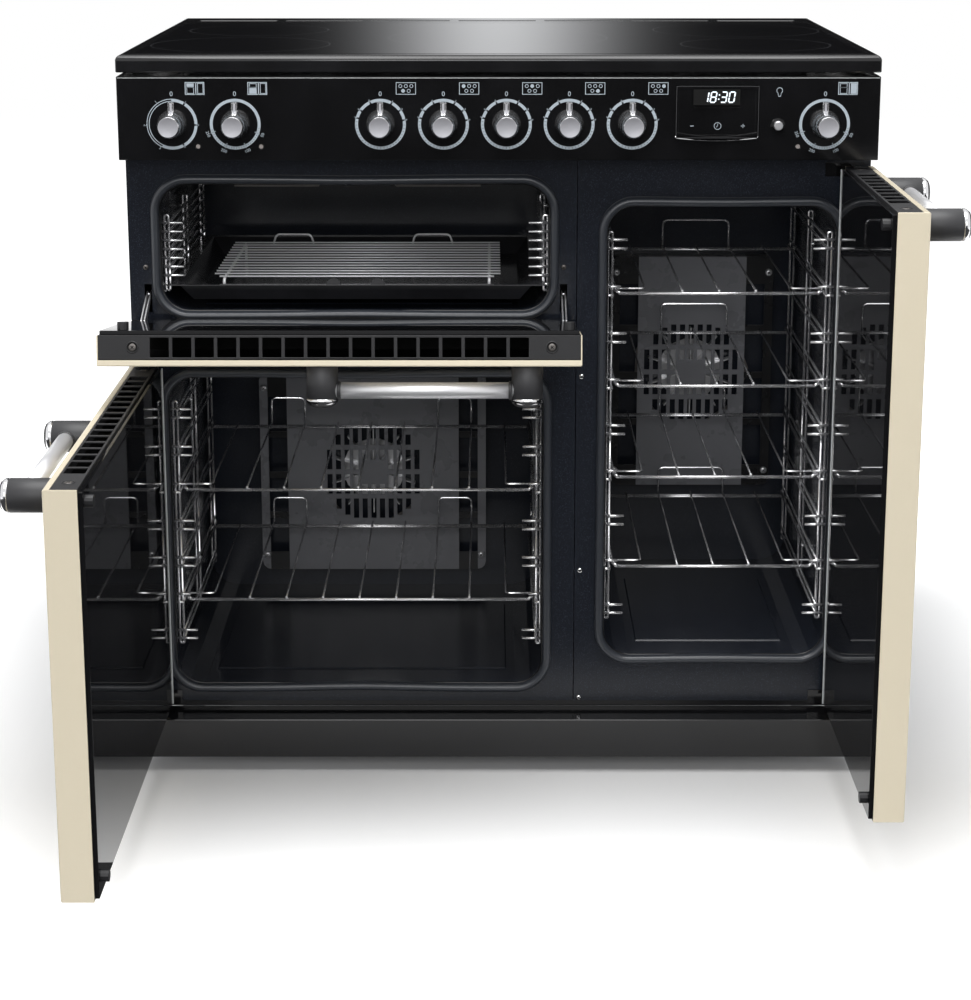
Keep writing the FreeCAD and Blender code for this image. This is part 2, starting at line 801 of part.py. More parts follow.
def fan_slots(x, z, y):
    """Upright slots that fill a circle round a blank centre."""
    slots = []
    columns = int(fan_radius / fan_slot_pitch)
    for column in range(-columns, columns + 1):
        across = column * fan_slot_pitch
        chord = sqrt(fan_radius ** 2 - across ** 2)
        for row in (-1.5, -0.5, 0.5, 1.5):
            middle = row * fan_row_pitch
            low = abs(middle) - fan_slot_height / 2
            high = min(abs(middle) + fan_slot_height / 2, chord)
            if abs(across) < fan_blank and abs(row) < 1:
                low = max(low, fan_blank + 3)
            if high - low < 9:
                continue
            sign = 1 if row > 0 else -1
            bottom = z + min(sign * low, sign * high)
            top = z + max(sign * low, sign * high)
            slots.append(box(x + across - fan_slot_width / 2, x + across + fan_slot_width / 2,
                             y - 2, y + 3, bottom, top))
    return slots


def fan_cover(x, z, across, tall, middle):
    """A pressed cover in front of the fan with the slotted intake and two outlet channels."""
    y0 = cavity_rear - liner_sheet - fan_cover_stand
    y1 = cavity_rear - liner_sheet - seat_gap
    outer = (x - across / 2, x + across / 2, middle - tall / 2, middle + tall / 2, 12.0)
    skin = rounded_block(outer, 0.0, y0, y1)
    hollow = rounded_block(outer, -liner_sheet, y0 + liner_sheet, y1 + 1)
    cover = skin.cut(hollow)
    outlets = []
    window = tall * 0.82 / channel_windows
    for side in (-1, 1):
        centre = x + side * (across / 2 - 12 - channel_width / 2)
        for index in range(channel_windows):
            low = middle - tall * 0.41 + index * window
            outlets.append(box(centre - channel_width / 2, centre + channel_width / 2,
                               y0 - 1, y0 + 3, low, low + window - 9))
    return cut(cover, fan_slots(x, z, y0) + outlets)


def main_fan_cover():
    """The fan cover of the main oven."""
    return fan_cover(main_mouth_centre, main_fan_height, main_cover_width, main_cover_height, main_fan_height)


def tall_fan_cover():
    """The fan cover of the tall oven."""
    return fan_cover(tall_mouth_centre, tall_fan_height, tall_cover_width, tall_cover_height, tall_fan_height)


def impeller(x, z):
    """A fan wheel: hub, back disc and raked blades, with the shaft to the motor."""
    y1 = cavity_rear - liner_sheet - impeller_clear
    y0 = y1 - impeller_depth
    plate = disc(x, z, impeller_radius * 0.72, y1, y1 + impeller_sheet, small_sides * 2)
    hub = disc(x, z, impeller_hub, y0 - 1, y1, small_sides)
    blades = []
    for index in range(impeller_blades):
        blade = box(impeller_hub, impeller_radius, y0, y1, -blade_thick / 2, blade_thick / 2)
        blade.rotate(Vector(0, 0, 0), Vector(0, 1, 0), 360 / impeller_blades * (index + 0.5))
        blade.translate(Vector(x, 0, z))
        blades.append(blade)
    shaft = spindle_rod((x, y1 + impeller_sheet, z), (0, 1, 0), cavity_rear + shaft_reach - y1 - impeller_sheet,
                        shaft_radius, spindle_flat)
    return Part.makeCompound([fuse([plate, hub, shaft])] + blades)


def fan_motors():
    """The two fan motors on the rear of the linings."""
    motors = []
    for x, z in ((main_mouth_centre, main_fan_height), (tall_mouth_centre, tall_fan_height)):
        motor = disc(x, z, motor_radius, cavity_rear + seat_gap, cavity_rear + motor_depth, small_sides * 2)
        bore = (shaft_radius + running_gap) / cos(pi / small_sides)
        motors.append(motor.cut(disc(x, z, bore, cavity_rear - 1, cavity_rear + shaft_reach + 2, small_sides)))
    return Part.makeCompound(motors)


def heating_elements():
    """Ring elements round the fans and the serpentine grill element under the grill roof."""
    elements = []
    y = cavity_rear - liner_sheet - 12
    for x, z in ((main_mouth_centre, main_fan_height), (tall_mouth_centre, tall_fan_height)):
        points = []
        for step in range(ring_element_steps + 1):
            angle = radians(285 + step * 310 / ring_element_steps)
            points.append((x + ring_element_radius * cos(angle), y, z + ring_element_radius * sin(angle)))
        last = points[-1]
        points.append((last[0], cavity_rear - liner_sheet - seat_gap, last[2]))
        elements.append(bent_wire(points, element_wire))
    roof = grill_mouth[3] + wall_step
    z = roof - 14
    y0 = frame_plane + grill_element_front
    y1 = cavity_rear - liner_sheet - seat_gap
    turns = (-1.5, -0.5, 0.5, 1.5)
    points = [(grill_mouth_centre + turns[0] * grill_element_pitch, y1, z)]
    for index, turn in enumerate(turns):
        x = grill_mouth_centre + turn * grill_element_pitch
        ends = (y0, y1 - 50) if index % 2 else (y1 - 50, y0)
        points += [(x, end, z) for end in ends]
    del points[1]
    points[-1] = (points[-1][0], y1, z)
    elements.append(bent_wire(points, element_wire))
    return Part.makeCompound(elements)


# Grill pan

def grill_pan():
    """An enamelled tray with a flat rim that runs in the racks, and two handle sockets."""
    rim_top = grill_first_level + flat_of(rack_wire, rack_sides) + seat_gap + pan_sheet
    edge = grill_mouth_width / 2 - rack_inset + pan_overlap
    x0 = grill_mouth_centre - edge
    x1 = grill_mouth_centre + edge
    y0 = pan_front
    y1 = y0 + pan_depth
    rim = box(x0, x1, y0, y1, rim_top - pan_sheet, rim_top)
    bottom = rim_top - pan_height

    def tray(shrink, low, high):
        """A tapered tray body."""
        rings = []
        for level, inset in ((high, pan_rim + shrink), (low, pan_rim + pan_taper + shrink)):
            corners = [(x0 + inset, y0 + inset - 8), (x1 - inset, y0 + inset - 8),
                       (x1 - inset, y1 - inset), (x0 + inset, y1 - inset)]
            rings.append([Vector(x, y, level) for x, y in corners])
        return stacked(rings)

    outer = tray(0.0, bottom, rim_top)
    inner = tray(pan_sheet, bottom + pan_sheet, rim_top + 0.5)
    pan = fuse([rim, outer]).cut(inner)
    sockets = []
    for x in (grill_mouth_centre - 27, grill_mouth_centre + 27):
        socket = disc(x, rim_top - pan_sheet, 9, y0 + 2, y0 + 5, small_sides * 2)
        sockets.append(socket.common(box(x - 20, x + 20, y0, y0 + 10, rim_top - pan_sheet, rim_top + 20)))
    return fuse([pan] + sockets)


def grill_trivet():
    """The food support: cross bars on two side wires with legs and two rear handles."""
    rim_top = grill_first_level + flat_of(rack_wire, rack_sides) + seat_gap + pan_sheet
    floor = rim_top - pan_height + pan_sheet
    z = rim_top + trivet_rise
    x0 = grill_mouth_centre - trivet_width / 2
    x1 = grill_mouth_centre + trivet_width / 2
    y0 = pan_front + pan_rim + trivet_setback
    y1 = y0 + trivet_pitch * (trivet_bars - 1)
    up = (0, 0, 1)
    wires = []
    for index in range(trivet_bars):
        y = y0 + trivet_pitch * index
        inset = 0 if index else trivet_first_inset
        wires.append(rod((x0 + inset, y, z), (x1 - inset, y, z), wire, facing=up))
    below = z - 2 * flat_of(wire)
    for x in (x0 + trivet_leg_inset, x1 - trivet_leg_inset):
        leg = floor + seat_gap
        points = [(x, y0 - 3, leg), (x, y0 - 3, below), (x, y1 + 3, below), (x, y1 + 3, leg)]
        wires.append(bent_wire(points, facing=(0, 1, 0)))
    for place in trivet_loop_places:
        x = grill_mouth_centre + place
        wires.append(arch(x, x + trivet_loop_width, y1 + wire + flat_of(wire), z - wire,
                          trivet_loop_height, trivet_loop_corner))
    return Part.makeCompound(wires)


# Doors

def door_skin(x0, x1, z0, z1, y, deep):
    """The enamelled outer tray of a door, open at the back and above behind its lip."""
    outer = box(x0, x1, y, y + deep, z0, z1)
    front_edges = [e for e in outer.Edges if e.BoundBox.YMax < y + 0.1]
    outer = outer.makeChamfer(1.2, front_edges)
    hollow = box(x0 + sheet, x1 - sheet, y + sheet, y + deep + 1, z0 + sheet, z1 - sheet)
    above = box(x0 + sheet, x1 - sheet, y + skin_lip, y + deep + 1, z1 - sheet - 1, z1 + 1)
    return cut(outer, [hollow, above])


def door_rail(x0, x1, z1, y, deep, low_strip):
    """The black top rail with its row of vent windows, and the strip below the inner glass."""
    gap = 0.4
    left = x0 + sheet + gap
    right = x1 - sheet - gap
    y0 = y + skin_lip + gap
    y1 = y + deep
    bottom = z1 - rail_height
    rail = box(left, right, y0, y1, bottom, z1)
    hollow = box(left + end_block, right - end_block, y0 + rail_wall, y1 - rail_wall, bottom - 1, z1 - rail_wall)
    span = right - left - 2 * end_block
    count = int(span / window_pitch)
    start = (left + right) / 2 - count * window_pitch / 2
    middle = (y0 + y1) / 2
    windows = []
    for index in range(count):
        x = start + index * window_pitch + window_bar / 2
        windows.append(box(x, x + window_pitch - window_bar, middle - window_depth / 2,
                           middle + window_depth / 2, z1 - rail_wall - 1, z1 + 1))
    strip = box(left, right, y1 - 6, y1, low_strip, low_strip + 10)
    return cut(rail, [hollow] + windows), strip


def inner_pane(x0, x1, z0, z1, y, deep, insets, notches=()):
    """The dark inner glass on the back of the door. insets are those of its left and right edges."""
    left, right = insets
    pane = box(x0 + left, x1 - right, y + deep + seat_gap, y + door_thick,
               z0 + inner_glass_inset, z1 - inner_glass_inset)
    return pane.cut(Part.makeCompound(list(notches))) if notches else pane


def post(x, z, y, reach):
    """A turned handle post with a ring and a domed end."""
    profile = ((0, post_radius), (reach - post_dome, post_radius), (reach, post_radius - post_dome))
    return turned((x, y, z), (0, -1, 0), profile)


def door_handle(x0, x1, z, y, reach):
    """Two posts and the round bar between them."""
    bar = rod((x0, y - bar_standoff, z), (x1, y - bar_standoff, z), bar_radius, small_sides + 4)
    return fuse([post(x0, z, y, reach), post(x1, z, y, reach), bar])


def catches(places, y):
    """Round door catches on the inner glass."""
    return [disc(x, z, catch_radius, y, y + catch_reach, small_sides + 4) for x, z in places]


def opened(shape, pivot, axis, angle):
    """A closed piece swung to its open place."""
    swung = shape.copy()
    swung.rotate(Vector(*pivot), Vector(*axis), angle)
    return swung


def side_door(x0, x1, z1, hinge):
    """The closed pieces of a side door. hinge is -1 for a left and 1 for a right hinged door."""
    z0 = door_bottom
    free = x1 if hinge < 0 else x0
    inward = hinge
    skin = door_skin(x0, x1, z0, z1, front, skin_return)
    pivot = main_pivot if hinge < 0 else tall_pivot
    bore = (hinge_pin + running_gap) / cos(pi / small_sides)
    pin = rod((pivot, side_pivot_y, z0 - 1), (pivot, side_pivot_y, z1 + 1), bore, small_sides)
    rail, strip = door_rail(x0, x1, z1, front, skin_return, z0 + sheet + seat_gap)
    insets = (hinge_glass_inset, inner_glass_inset)
    pane = inner_pane(x0, x1, z0, z1, front, skin_return, insets if hinge < 0 else insets[::-1])
    stop = free + inward * catch_inset
    buttons = catches([(stop, z0 + catch_rise), (stop, z1 - 8.5 - catch_radius)], front + door_thick)
    first = free + inward * post_inset
    second = first + inward * post_spacing
    handle = door_handle(min(first, second), max(first, second), z1 - handle_drop, front, side_handle_reach)
    return skin.cut(pin), Part.makeCompound([rail.cut(pin), strip] + buttons), pane, handle


def main_door():
    """The main oven door, open."""
    pieces = side_door(door_left, main_free, main_door_top, -1)
    return [opened(piece, (main_pivot, side_pivot_y, 0), (0, 0, 1), -90) for piece in pieces]


def tall_door():
    """The tall oven door, open."""
    pieces = side_door(tall_free, door_right, door_top, 1)
    return [opened(piece, (tall_pivot, side_pivot_y, 0), (0, 0, 1), 90) for piece in pieces]


def stay_places():
    """The pin of each stay on the closed grill door."""
    return (front + door_thick - stay_depth, grill_pivot_height + stay_pin_height)


def grill_door():
    """The drop-down grill door, open."""
    x0 = door_left
    x1 = main_free - door_side_gap
    z0 = grill_door_bottom
    z1 = door_top
    skin = door_skin(x0, x1, z0, z1, front, skin_return)
    rail, strip = door_rail(x0, x1, z1, front, skin_return, z0 + 12)
    pin_y, pin_z = stay_places()
    half = stay_plate + stay_space / 2 + 1
    notch_top = pin_z + 24
    corners = [(x0 - 1, stay_left + half), (stay_right - half, x1 + 1)]
    notches = [box(left, right, front + skin_return, front + door_thick + 1, z0 - 1, notch_top)
               for left, right in corners]
    clear = [box(max(left, x0 + sheet), min(right, x1 - sheet), front + skin_return - 7, front + door_thick + 1,
                 z0 - 1, notch_top) for left, right in corners]
    slots = [box(x - 3, x + 3, front + sheet, front + skin_return + 1, z0 - 1, z0 + sheet + 1)
             for x in (grill_arm_left, grill_arm_right)]
    bore = (grill_pin + running_gap) / cos(pi / small_sides)
    slots.append(rod((x0 - 1, grill_pivot_y, grill_pivot_height), (x0 + 3, grill_pivot_y, grill_pivot_height),
                     bore, small_sides))
    slots.append(rod((x1 - 3, grill_pivot_y, grill_pivot_height), (x1 + 1, grill_pivot_y, grill_pivot_height),
                     bore, small_sides))
    skin = cut(skin, slots)
    brackets = []
    for x in (stay_left, stay_right):
        bracket = box(x - stay_space / 2 + 0.15, x + stay_space / 2 - 0.15, front + sheet + seat_gap,
                      pin_y + 1.5, pin_z - 4, pin_z + 4)
        bore = (stay_pin + running_gap) / cos(pi / small_sides)
        eye = rod((x - 10, pin_y, pin_z), (x + 10, pin_y, pin_z), bore, small_sides)
        brackets.append(bracket.cut(eye))
    insets = (inner_glass_inset, inner_glass_inset)
    pane = inner_pane(x0, x1, z0 + 8 - inner_glass_inset, z1, front, skin_return, insets, notches)
    buttons = catches([(stay_left + 7, z1 - 12), (stay_right - 1, z1 - 12)], front + door_thick)
    first = main_free - post_inset - 2
    handle = door_handle(first - post_spacing, first, z1 - handle_drop, front, grill_handle_reach)
    rails = Part.makeCompound([rail, strip.cut(Part.makeCompound(clear))] + buttons + brackets)
    return [opened(piece, (0, grill_pivot_y, grill_pivot_height), (1, 0, 0), grill_open_angle)
            for piece in (skin, rails, pane, handle)]


def open_stay_pin():
    """Where the stay pins stand with the grill door open."""
    pin_y, pin_z = stay_places()
    turn = radians(grill_open_angle)
    across = pin_y - grill_pivot_y
    up = pin_z - grill_pivot_height
    return (grill_pivot_y + across * cos(turn) - up * sin(turn),
            grill_pivot_height + across * sin(turn) + up * cos(turn))


def grill_stay_arms():
    """Two stays, each a pair of tapered plates on a pin, running into the front frame."""
    pin_y, pin_z = open_stay_pin()
    stays = []
    for x in (stay_left, stay_right):
        outline = [(-4, stay_height / 2), (stay_length * 0.5, stay_height / 2), (stay_length, stay_tip_height / 2),
                   (stay_length, -stay_tip_height / 2), (stay_length * 0.5, -stay_height / 2),
                   (-4, -stay_height / 2)]
        plates = []
        for side in (-1, 1):
            inside = x + side * stay_space / 2
            points = [Vector(inside, pin_y + along, pin_z + up) for along, up in outline]
            plates.append(Part.Face(Part.makePolygon(points + points[:1])).extrude(Vector(side * stay_plate, 0, 0)))
        reach = stay_space / 2 + stay_plate
        pin = rod((x - reach, pin_y, pin_z), (x + reach, pin_y, pin_z), stay_pin, small_sides)
        end = pin_y + stay_length - 4
        roller = rod((x - reach, end, pin_z), (x + reach, end, pin_z), stay_pin, small_sides)
        stay = fuse(plates + [pin, roller])
        stay.rotate(Vector(x, pin_y, pin_z), Vector(1, 0, 0), stay_rise)
        stays.append(stay)
    return Part.makeCompound(stays)


def door_hinge_brackets():
    """Pressed brackets on the front frame with the pins of the side doors."""
    thick = hinge_leaf
    gap = hinge_leaf_gap
    y0 = side_pivot_y - 2 * hinge_pin
    brackets = []

    def bracket(pivot, side, inner, seat, upward):
        """One bracket. upward is 1 where the pin points up into the door."""
        outer = side * (width / 2 - 9)
        left = min(outer, inner)
        right = max(outer, inner)
        leaf_low = seat - gap - thick if upward > 0 else seat + gap
        leaf = box(min(outer, pivot - side * 9), max(outer, pivot - side * 9), y0, frame_plane - seat_gap,
                   leaf_low, leaf_low + thick)
        if upward > 0:
            plate = box(left, right, frame_plane - seat_gap - thick, frame_plane - seat_gap, leaf_low, seat + 14)
            pin = spindle_rod((pivot, side_pivot_y, leaf_low), (0, 0, 1), seat + 2 * hinge_pin - leaf_low,
                              hinge_pin, spindle_flat)
        else:
            plate = box(left, right, frame_plane - seat_gap - thick, frame_plane - seat_gap,
                        seat - 14, leaf_low + thick)
            pin = spindle_rod((pivot, side_pivot_y, seat - 2 * hinge_pin), (0, 0, 1),
                              leaf_low + thick - seat + 2 * hinge_pin, hinge_pin, spindle_flat)
        return fuse([leaf, plate, pin])

    for x, pin_end in ((grill_arm_left, door_left + 0.3), (grill_arm_right, main_free - door_side_gap - 0.3)):
        foot = box(x - 5.5, x + 5.5, frame_plane - seat_gap - sheet, frame_plane - seat_gap,
                   grill_pivot_height - 9, grill_pivot_height + 9)
        arm = box(x - sheet, x + sheet, grill_pivot_y - 5, frame_plane - seat_gap - sheet,
                  grill_pivot_height - 4, grill_pivot_height + 4)
        pin = spindle_rod((min(x, pin_end), grill_pivot_y, grill_pivot_height), (1, 0, 0), abs(pin_end - x),
                          grill_pin, spindle_flat)
        brackets.append(fuse([foot, arm, pin]))
    brackets.append(bracket(main_pivot, -1, main_pivot + low_plate_reach, door_bottom, 1))
    brackets.append(bracket(main_pivot, -1, main_pivot + top_plate_reach, main_door_top, -1))
    brackets.append(bracket(tall_pivot, 1, tall_pivot - tall_plate_reach, door_bottom, 1))
    brackets.append(bracket(tall_pivot, 1, tall_pivot - tall_plate_reach, door_top, -1))
    return Part.makeCompound(brackets)


# Rear fittings

def terminal_cover():
    """The moulded cover of the mains terminals low on the back, with its cable gland below."""
    y0 = back_plane + sheet + seat_gap
    y1 = rear - 0.5
    x0 = terminal_centre - terminal_width / 2
    x1 = terminal_centre + terminal_width / 2
    cover = box(x0, x1, y0, y1, terminal_bottom, terminal_bottom + terminal_height)
    cover = cover.makeChamfer(terminal_chamfer, [e for e in cover.Edges if e.BoundBox.YMin > y1 - 0.1])
    y = (y0 + y1) / 2
    low = terminal_bottom - gland_length
    gland = rod((terminal_centre, y, low), (terminal_centre, y, terminal_bottom), gland_radius, rail_sides)
    bore = Part.makeCylinder(gland_bore, bore_length, Vector(terminal_centre, y, low))
    return fuse([cover, gland]).cut(bore)


def save(name, shape):
    """Write one node."""
    shape.exportStep(os.path.join("parts", name + ".step"))


def main():
    """Build and write every node."""
    os.makedirs("parts", exist_ok=True)
    nodes = {
        "side_panels": side_panels(),
        "back_panel": back_panel(),
        "base_frame": base_frame(),
        "plinth": plinth(),
        "levelling_feet": levelling_feet(),
        "hob_frame": hob_frame(),
        "hob_glass": hob_glass(),
        "control_panel": control_panel(),
        "timer_module": timer_module(),
        "indicator_lenses": indicator_lenses(),
        "control_switches": control_switches(),
        "light_button": light_button(),
        "grill_cavity": grill_cavity(),
        "main_cavity": main_cavity(),
        "tall_cavity": tall_cavity(),
        "grill_seal": seal(grill_mouth),
        "main_seal": seal(main_mouth),
        "tall_seal": seal(tall_mouth),
        "grill_side_racks": racks(grill_mouth, grill_first_level, grill_level_pitch, grill_levels, 0.0),
        "main_side_racks": racks(main_mouth, main_first_level, main_level_pitch, main_levels, rack_pair),
        "tall_side_racks": racks(tall_mouth, tall_first_level, tall_level_pitch, tall_levels, rack_pair),
        "main_fan_cover": main_fan_cover(),
        "tall_fan_cover": tall_fan_cover(),
        "main_fan_impeller": impeller(main_mouth_centre, main_fan_height),
        "tall_fan_impeller": impeller(tall_mouth_centre, tall_fan_height),
        "fan_motors": fan_motors(),
        "heating_elements": heating_elements(),
        "grill_pan": grill_pan(),
        "grill_trivet": grill_trivet(),
        "grill_stay_arms": grill_stay_arms(),
        "door_hinge_brackets": door_hinge_brackets(),
        "terminal_cover": terminal_cover(),
    }
    for index, x in enumerate(knob_places):
        nodes[f"knob_{index + 1}"] = knob(x)
    for index in range(len(main_shelf_levels)):
        nodes[f"main_shelf_{index + 1}"] = main_shelf(index)
    for index in range(len(tall_shelf_levels)):
        nodes[f"tall_shelf_{index + 1}"] = tall_shelf(index)
    for door, pieces in (("grill_door", grill_door()), ("main_door", main_door()), ("tall_door", tall_door())):
        for piece, shape in zip(("skin", "rail", "glass", "handle"), pieces):
            nodes[f"{door}_{piece}"] = shape
    for name, shape in nodes.items():
        save(name, shape)


main()
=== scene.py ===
import math
import bpy
from mathutils import Matrix, Vector


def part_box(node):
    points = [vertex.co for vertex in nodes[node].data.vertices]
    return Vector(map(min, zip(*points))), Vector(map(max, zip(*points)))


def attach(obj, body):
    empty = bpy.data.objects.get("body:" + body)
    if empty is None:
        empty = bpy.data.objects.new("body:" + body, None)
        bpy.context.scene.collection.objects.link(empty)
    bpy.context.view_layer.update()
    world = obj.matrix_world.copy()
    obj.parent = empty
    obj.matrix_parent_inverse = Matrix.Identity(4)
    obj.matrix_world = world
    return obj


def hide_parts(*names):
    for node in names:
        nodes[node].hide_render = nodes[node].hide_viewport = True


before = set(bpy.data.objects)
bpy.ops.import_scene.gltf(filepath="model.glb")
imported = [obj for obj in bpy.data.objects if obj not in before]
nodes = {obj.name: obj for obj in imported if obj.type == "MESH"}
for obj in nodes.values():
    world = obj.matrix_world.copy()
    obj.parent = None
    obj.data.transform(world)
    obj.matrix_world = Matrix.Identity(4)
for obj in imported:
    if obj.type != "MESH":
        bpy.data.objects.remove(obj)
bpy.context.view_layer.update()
print("frame loaded,", len(nodes), "nodes")

# where things stand on the cooker, in metres
place = {
    "front": -0.047, "plane": 0.003, "knobRow": 0.8239,
    "sidePivot": (0.432, -0.027), "grillPivot": (-0.0355, 0.557), "grillTurn": 81.5,
}
mouths = {"grill": (-0.411, 0.063, 0.589, 0.746), "main": (-0.408, 0.056, 0.105, 0.506),
          "tall": (0.133, 0.412, 0.143, 0.7195)}
front = place["front"]


# a shader socket that can be added, multiplied and so on like a number
class Signal:
    def __init__(self, finish, socket):
        self.finish, self.socket = finish, socket

    def join(self, operation, first, second):
        return self.finish.node("ShaderNodeMath", {"operation": operation}, {0: first, 1: second})

    def __add__(self, other): return self.join("ADD", self, other)
    def __radd__(self, other): return self.join("ADD", other, self)
    def __sub__(self, other): return self.join("SUBTRACT", self, other)
    def __rsub__(self, other): return self.join("SUBTRACT", other, self)
    def __mul__(self, other): return self.join("MULTIPLY", self, other)
    def __rmul__(self, other): return self.join("MULTIPLY", other, self)
    def __truediv__(self, other): return self.join("DIVIDE", self, other)
    def __pow__(self, other): return self.join("POWER", self, other)
    def __rpow__(self, other): return self.join("POWER", other, self)
    def __gt__(self, other): return self.join("GREATER_THAN", self, other)
    def __lt__(self, other): return self.join("LESS_THAN", self, other)


# one material, or the world, with the few ways of making nodes that are used here
class Finish:
    def __init__(self, name, owner=None):
        self.owner = owner or bpy.data.materials.new(name)
        self.owner.use_nodes = True
        self.tree = self.owner.node_tree
        self.tree.nodes.clear()

    def node(self, kind, settings=None, inputs=None, output=0):
        made = self.tree.nodes.new(kind)
        for name, value in (settings or {}).items():
            setattr(made, name, value)
        for key, value in (inputs or {}).items():
            if isinstance(value, Signal):
                self.tree.links.new(value.socket, made.inputs[key])
            else:
                made.inputs[key].default_value = value
        return Signal(self, made.outputs[output])

    def spot(self):
        return self.node("ShaderNodeTexCoord", output="Object")

    def axis(self, letter):
        return self.node("ShaderNodeSeparateXYZ", None, {0: self.spot()}, letter)

    def noise(self, scale, detail=2.0, roughness=0.5, stretch=None):
        where = self.spot()
        if stretch:
            where = self.node("ShaderNodeMapping", None, {"Vector": where, "Scale": stretch})
        settings = {"Vector": where, "Scale": scale, "Detail": detail, "Roughness": roughness}
        return self.node("ShaderNodeTexNoise", None, settings, "Fac")

    def speckle(self, scale, size):
        # small round dots strewn at the given scale
        spots = {"Vector": self.spot(), "Scale": scale}
        return self.node("ShaderNodeTexVoronoi", None, spots, "Distance") < size

    def absolute(self, value):
        return self.node("ShaderNodeMath", {"operation": "ABSOLUTE"}, {0: value})

    def soft(self, value, low, high):
        return self.node("ShaderNodeMapRange", {"interpolation_type": "SMOOTHSTEP"},
                         {"Value": value, "From Min": low, "From Max": high})

    def blend(self, mask, first, second):
        return self.node("ShaderNodeMix", {"data_type": "RGBA"}, {0: mask, 6: first, 7: second}, 2)

    def bump(self, height, strength, distance):
        return self.node("ShaderNodeBump", None,
                         {"Height": height, "Strength": strength, "Distance": distance})


def rgb(red, green, blue):
    return (red, green, blue, 1.0)


# the output node has no socket of its own to hand on
def ended(tree, shader, kind):
    end = tree.nodes.new(kind)
    tree.links.new(shader.socket, end.inputs["Surface"])


def principled(finish, settings):
    shader = finish.node("ShaderNodeBsdfPrincipled", None, settings)
    ended(finish.tree, shader, "ShaderNodeOutputMaterial")
    return finish.owner


def creamEnamel():
    look = {"light": rgb(0.83, 0.745, 0.575), "deep": rgb(0.78, 0.695, 0.525),
            "peel": 420, "roughness": 0.24}
    finish = Finish("creamEnamel")
    drift = finish.noise(3.0, 3.0)
    grain = finish.noise(look["peel"], 2.0)
    return principled(finish, {
        "Base Color": finish.blend(drift * 0.35 + grain * 0.25, look["light"], look["deep"]),
        "Roughness": look["roughness"] + drift * 0.03,
        "Coat Weight": 0.35, "Coat Roughness": 0.08,
        "Normal": finish.bump(grain, 0.06, 0.0006)})


def glossBlack(name="glossBlack", roughness=0.08, specular=0.5, tone=0.0065):
    finish = Finish(name)
    smear = finish.noise(14, 4.0, 0.6)
    peel = finish.noise(380, 2.0)
    return principled(finish, {
        "Base Color": finish.blend(finish.soft(smear, 0.35, 0.75), rgb(tone, tone, tone * 1.1),
                                   rgb(tone * 1.5, tone * 1.5, tone * 1.7)),
        "Roughness": roughness + smear * 0.07,
        "Specular IOR Level": specular,
        "Normal": finish.bump(peel, 0.03, 0.0004)})


def hobGlass():
    # five printed zones: centre x, centre y, radius
    zones = ((-0.318, 0.325, 0.092), (-0.318, 0.098, 0.110), (0.0, 0.205, 0.140),
             (0.318, 0.325, 0.110), (0.318, 0.098, 0.092))
    finish = Finish("hobGlass")
    x, y = finish.axis("X"), finish.axis("Y")
    printed = None
    for cx, cy, radius in zones:
        away = ((x - cx) * (x - cx) + (y - cy) * (y - cy)) ** 0.5
        ring = finish.absolute(away - radius) < 0.0009
        printed = ring if printed is None else printed + ring
    dots = finish.speckle(420.0, 0.16)
    smear = finish.noise(7, 4.0, 0.6)
    return principled(finish, {
        "Base Color": finish.blend(printed * 0.8 + dots * 0.05, rgb(0.004, 0.004, 0.005),
                                   rgb(0.055, 0.056, 0.060)),
        "Roughness": 0.035 + smear * 0.03 + printed * 0.05})


def speckledEnamel():
    look = {"ground": rgb(0.0125, 0.0145, 0.021), "cloud": rgb(0.020, 0.024, 0.034),
            "speck": rgb(0.085, 0.105, 0.150), "front": rgb(0.0115, 0.0138, 0.0200)}
    finish = Finish("speckledEnamel")
    cloud = finish.noise(9, 4.0, 0.6)
    fleck = finish.soft(finish.noise(1150, 1.0), 0.60, 0.74)
    rare = finish.speckle(260.0, 0.11)
    forward = finish.axis("Y") < 0.0042  # the front frame is a little bluer than the inside
    ground = finish.blend(cloud, look["ground"], look["cloud"])
    ground = finish.blend(forward * 0.75, ground, look["front"])
    peel = finish.noise(240, 3.0)
    return principled(finish, {
        "Base Color": finish.blend(fleck * 0.42 + rare * 0.35, ground, look["speck"]),
        "Roughness": 0.15 + cloud * 0.12,
        "Specular IOR Level": 0.35,
        "Normal": finish.bump(peel, 0.16, 0.0006)})


def blackCoverPaintedReflection(name, channels):
    # a black enamel cover whose grey is painted reflection of the bright floor, with its two outlet channels
    # left black: centre x, from, to
    middle, low, high = channels
    finish = Finish(name)
    cloud = finish.noise(16, 4.0, 0.6)
    fleck = finish.soft(finish.noise(1000, 1.0), 0.60, 0.76)
    aside = finish.absolute(finish.axis("X") - middle)
    channel = (aside > low) * (aside < high)
    # the grey ground is painted reflection, lighter than the black enamel itself
    ground = finish.blend(cloud * 0.4 + fleck * 0.3, rgb(0.175, 0.178, 0.194),
                          rgb(0.280, 0.284, 0.305))
    return principled(finish, {
        "Base Color": finish.blend(channel, ground, rgb(0.006, 0.006, 0.007)),
        "Roughness": 0.22 + cloud * 0.12,
        "Normal": finish.bump(finish.noise(260, 3.0), 0.15, 0.0005)})


def blackPlastic():
    finish = Finish("blackPlastic")
    grain = finish.noise(950, 3.0, 0.6)
    cloud = finish.noise(22, 3.0)
    return principled(finish, {
        "Base Color": finish.blend(cloud, rgb(0.010, 0.010, 0.011), rgb(0.017, 0.017, 0.019)),
        "Roughness": 0.36 + grain * 0.16,
        "Specular IOR Level": 0.4,
        "Normal": finish.bump(grain, 0.12, 0.0004)})


def matteBlack():
    finish = Finish("matteBlack")
    grain = finish.noise(1400, 3.0, 0.6)
    return principled(finish, {
        "Base Color": finish.blend(grain, rgb(0.024, 0.024, 0.026), rgb(0.036, 0.036, 0.039)),
        "Roughness": 0.42 + grain * 0.12,
        "Normal": finish.bump(grain, 0.18, 0.0004)})


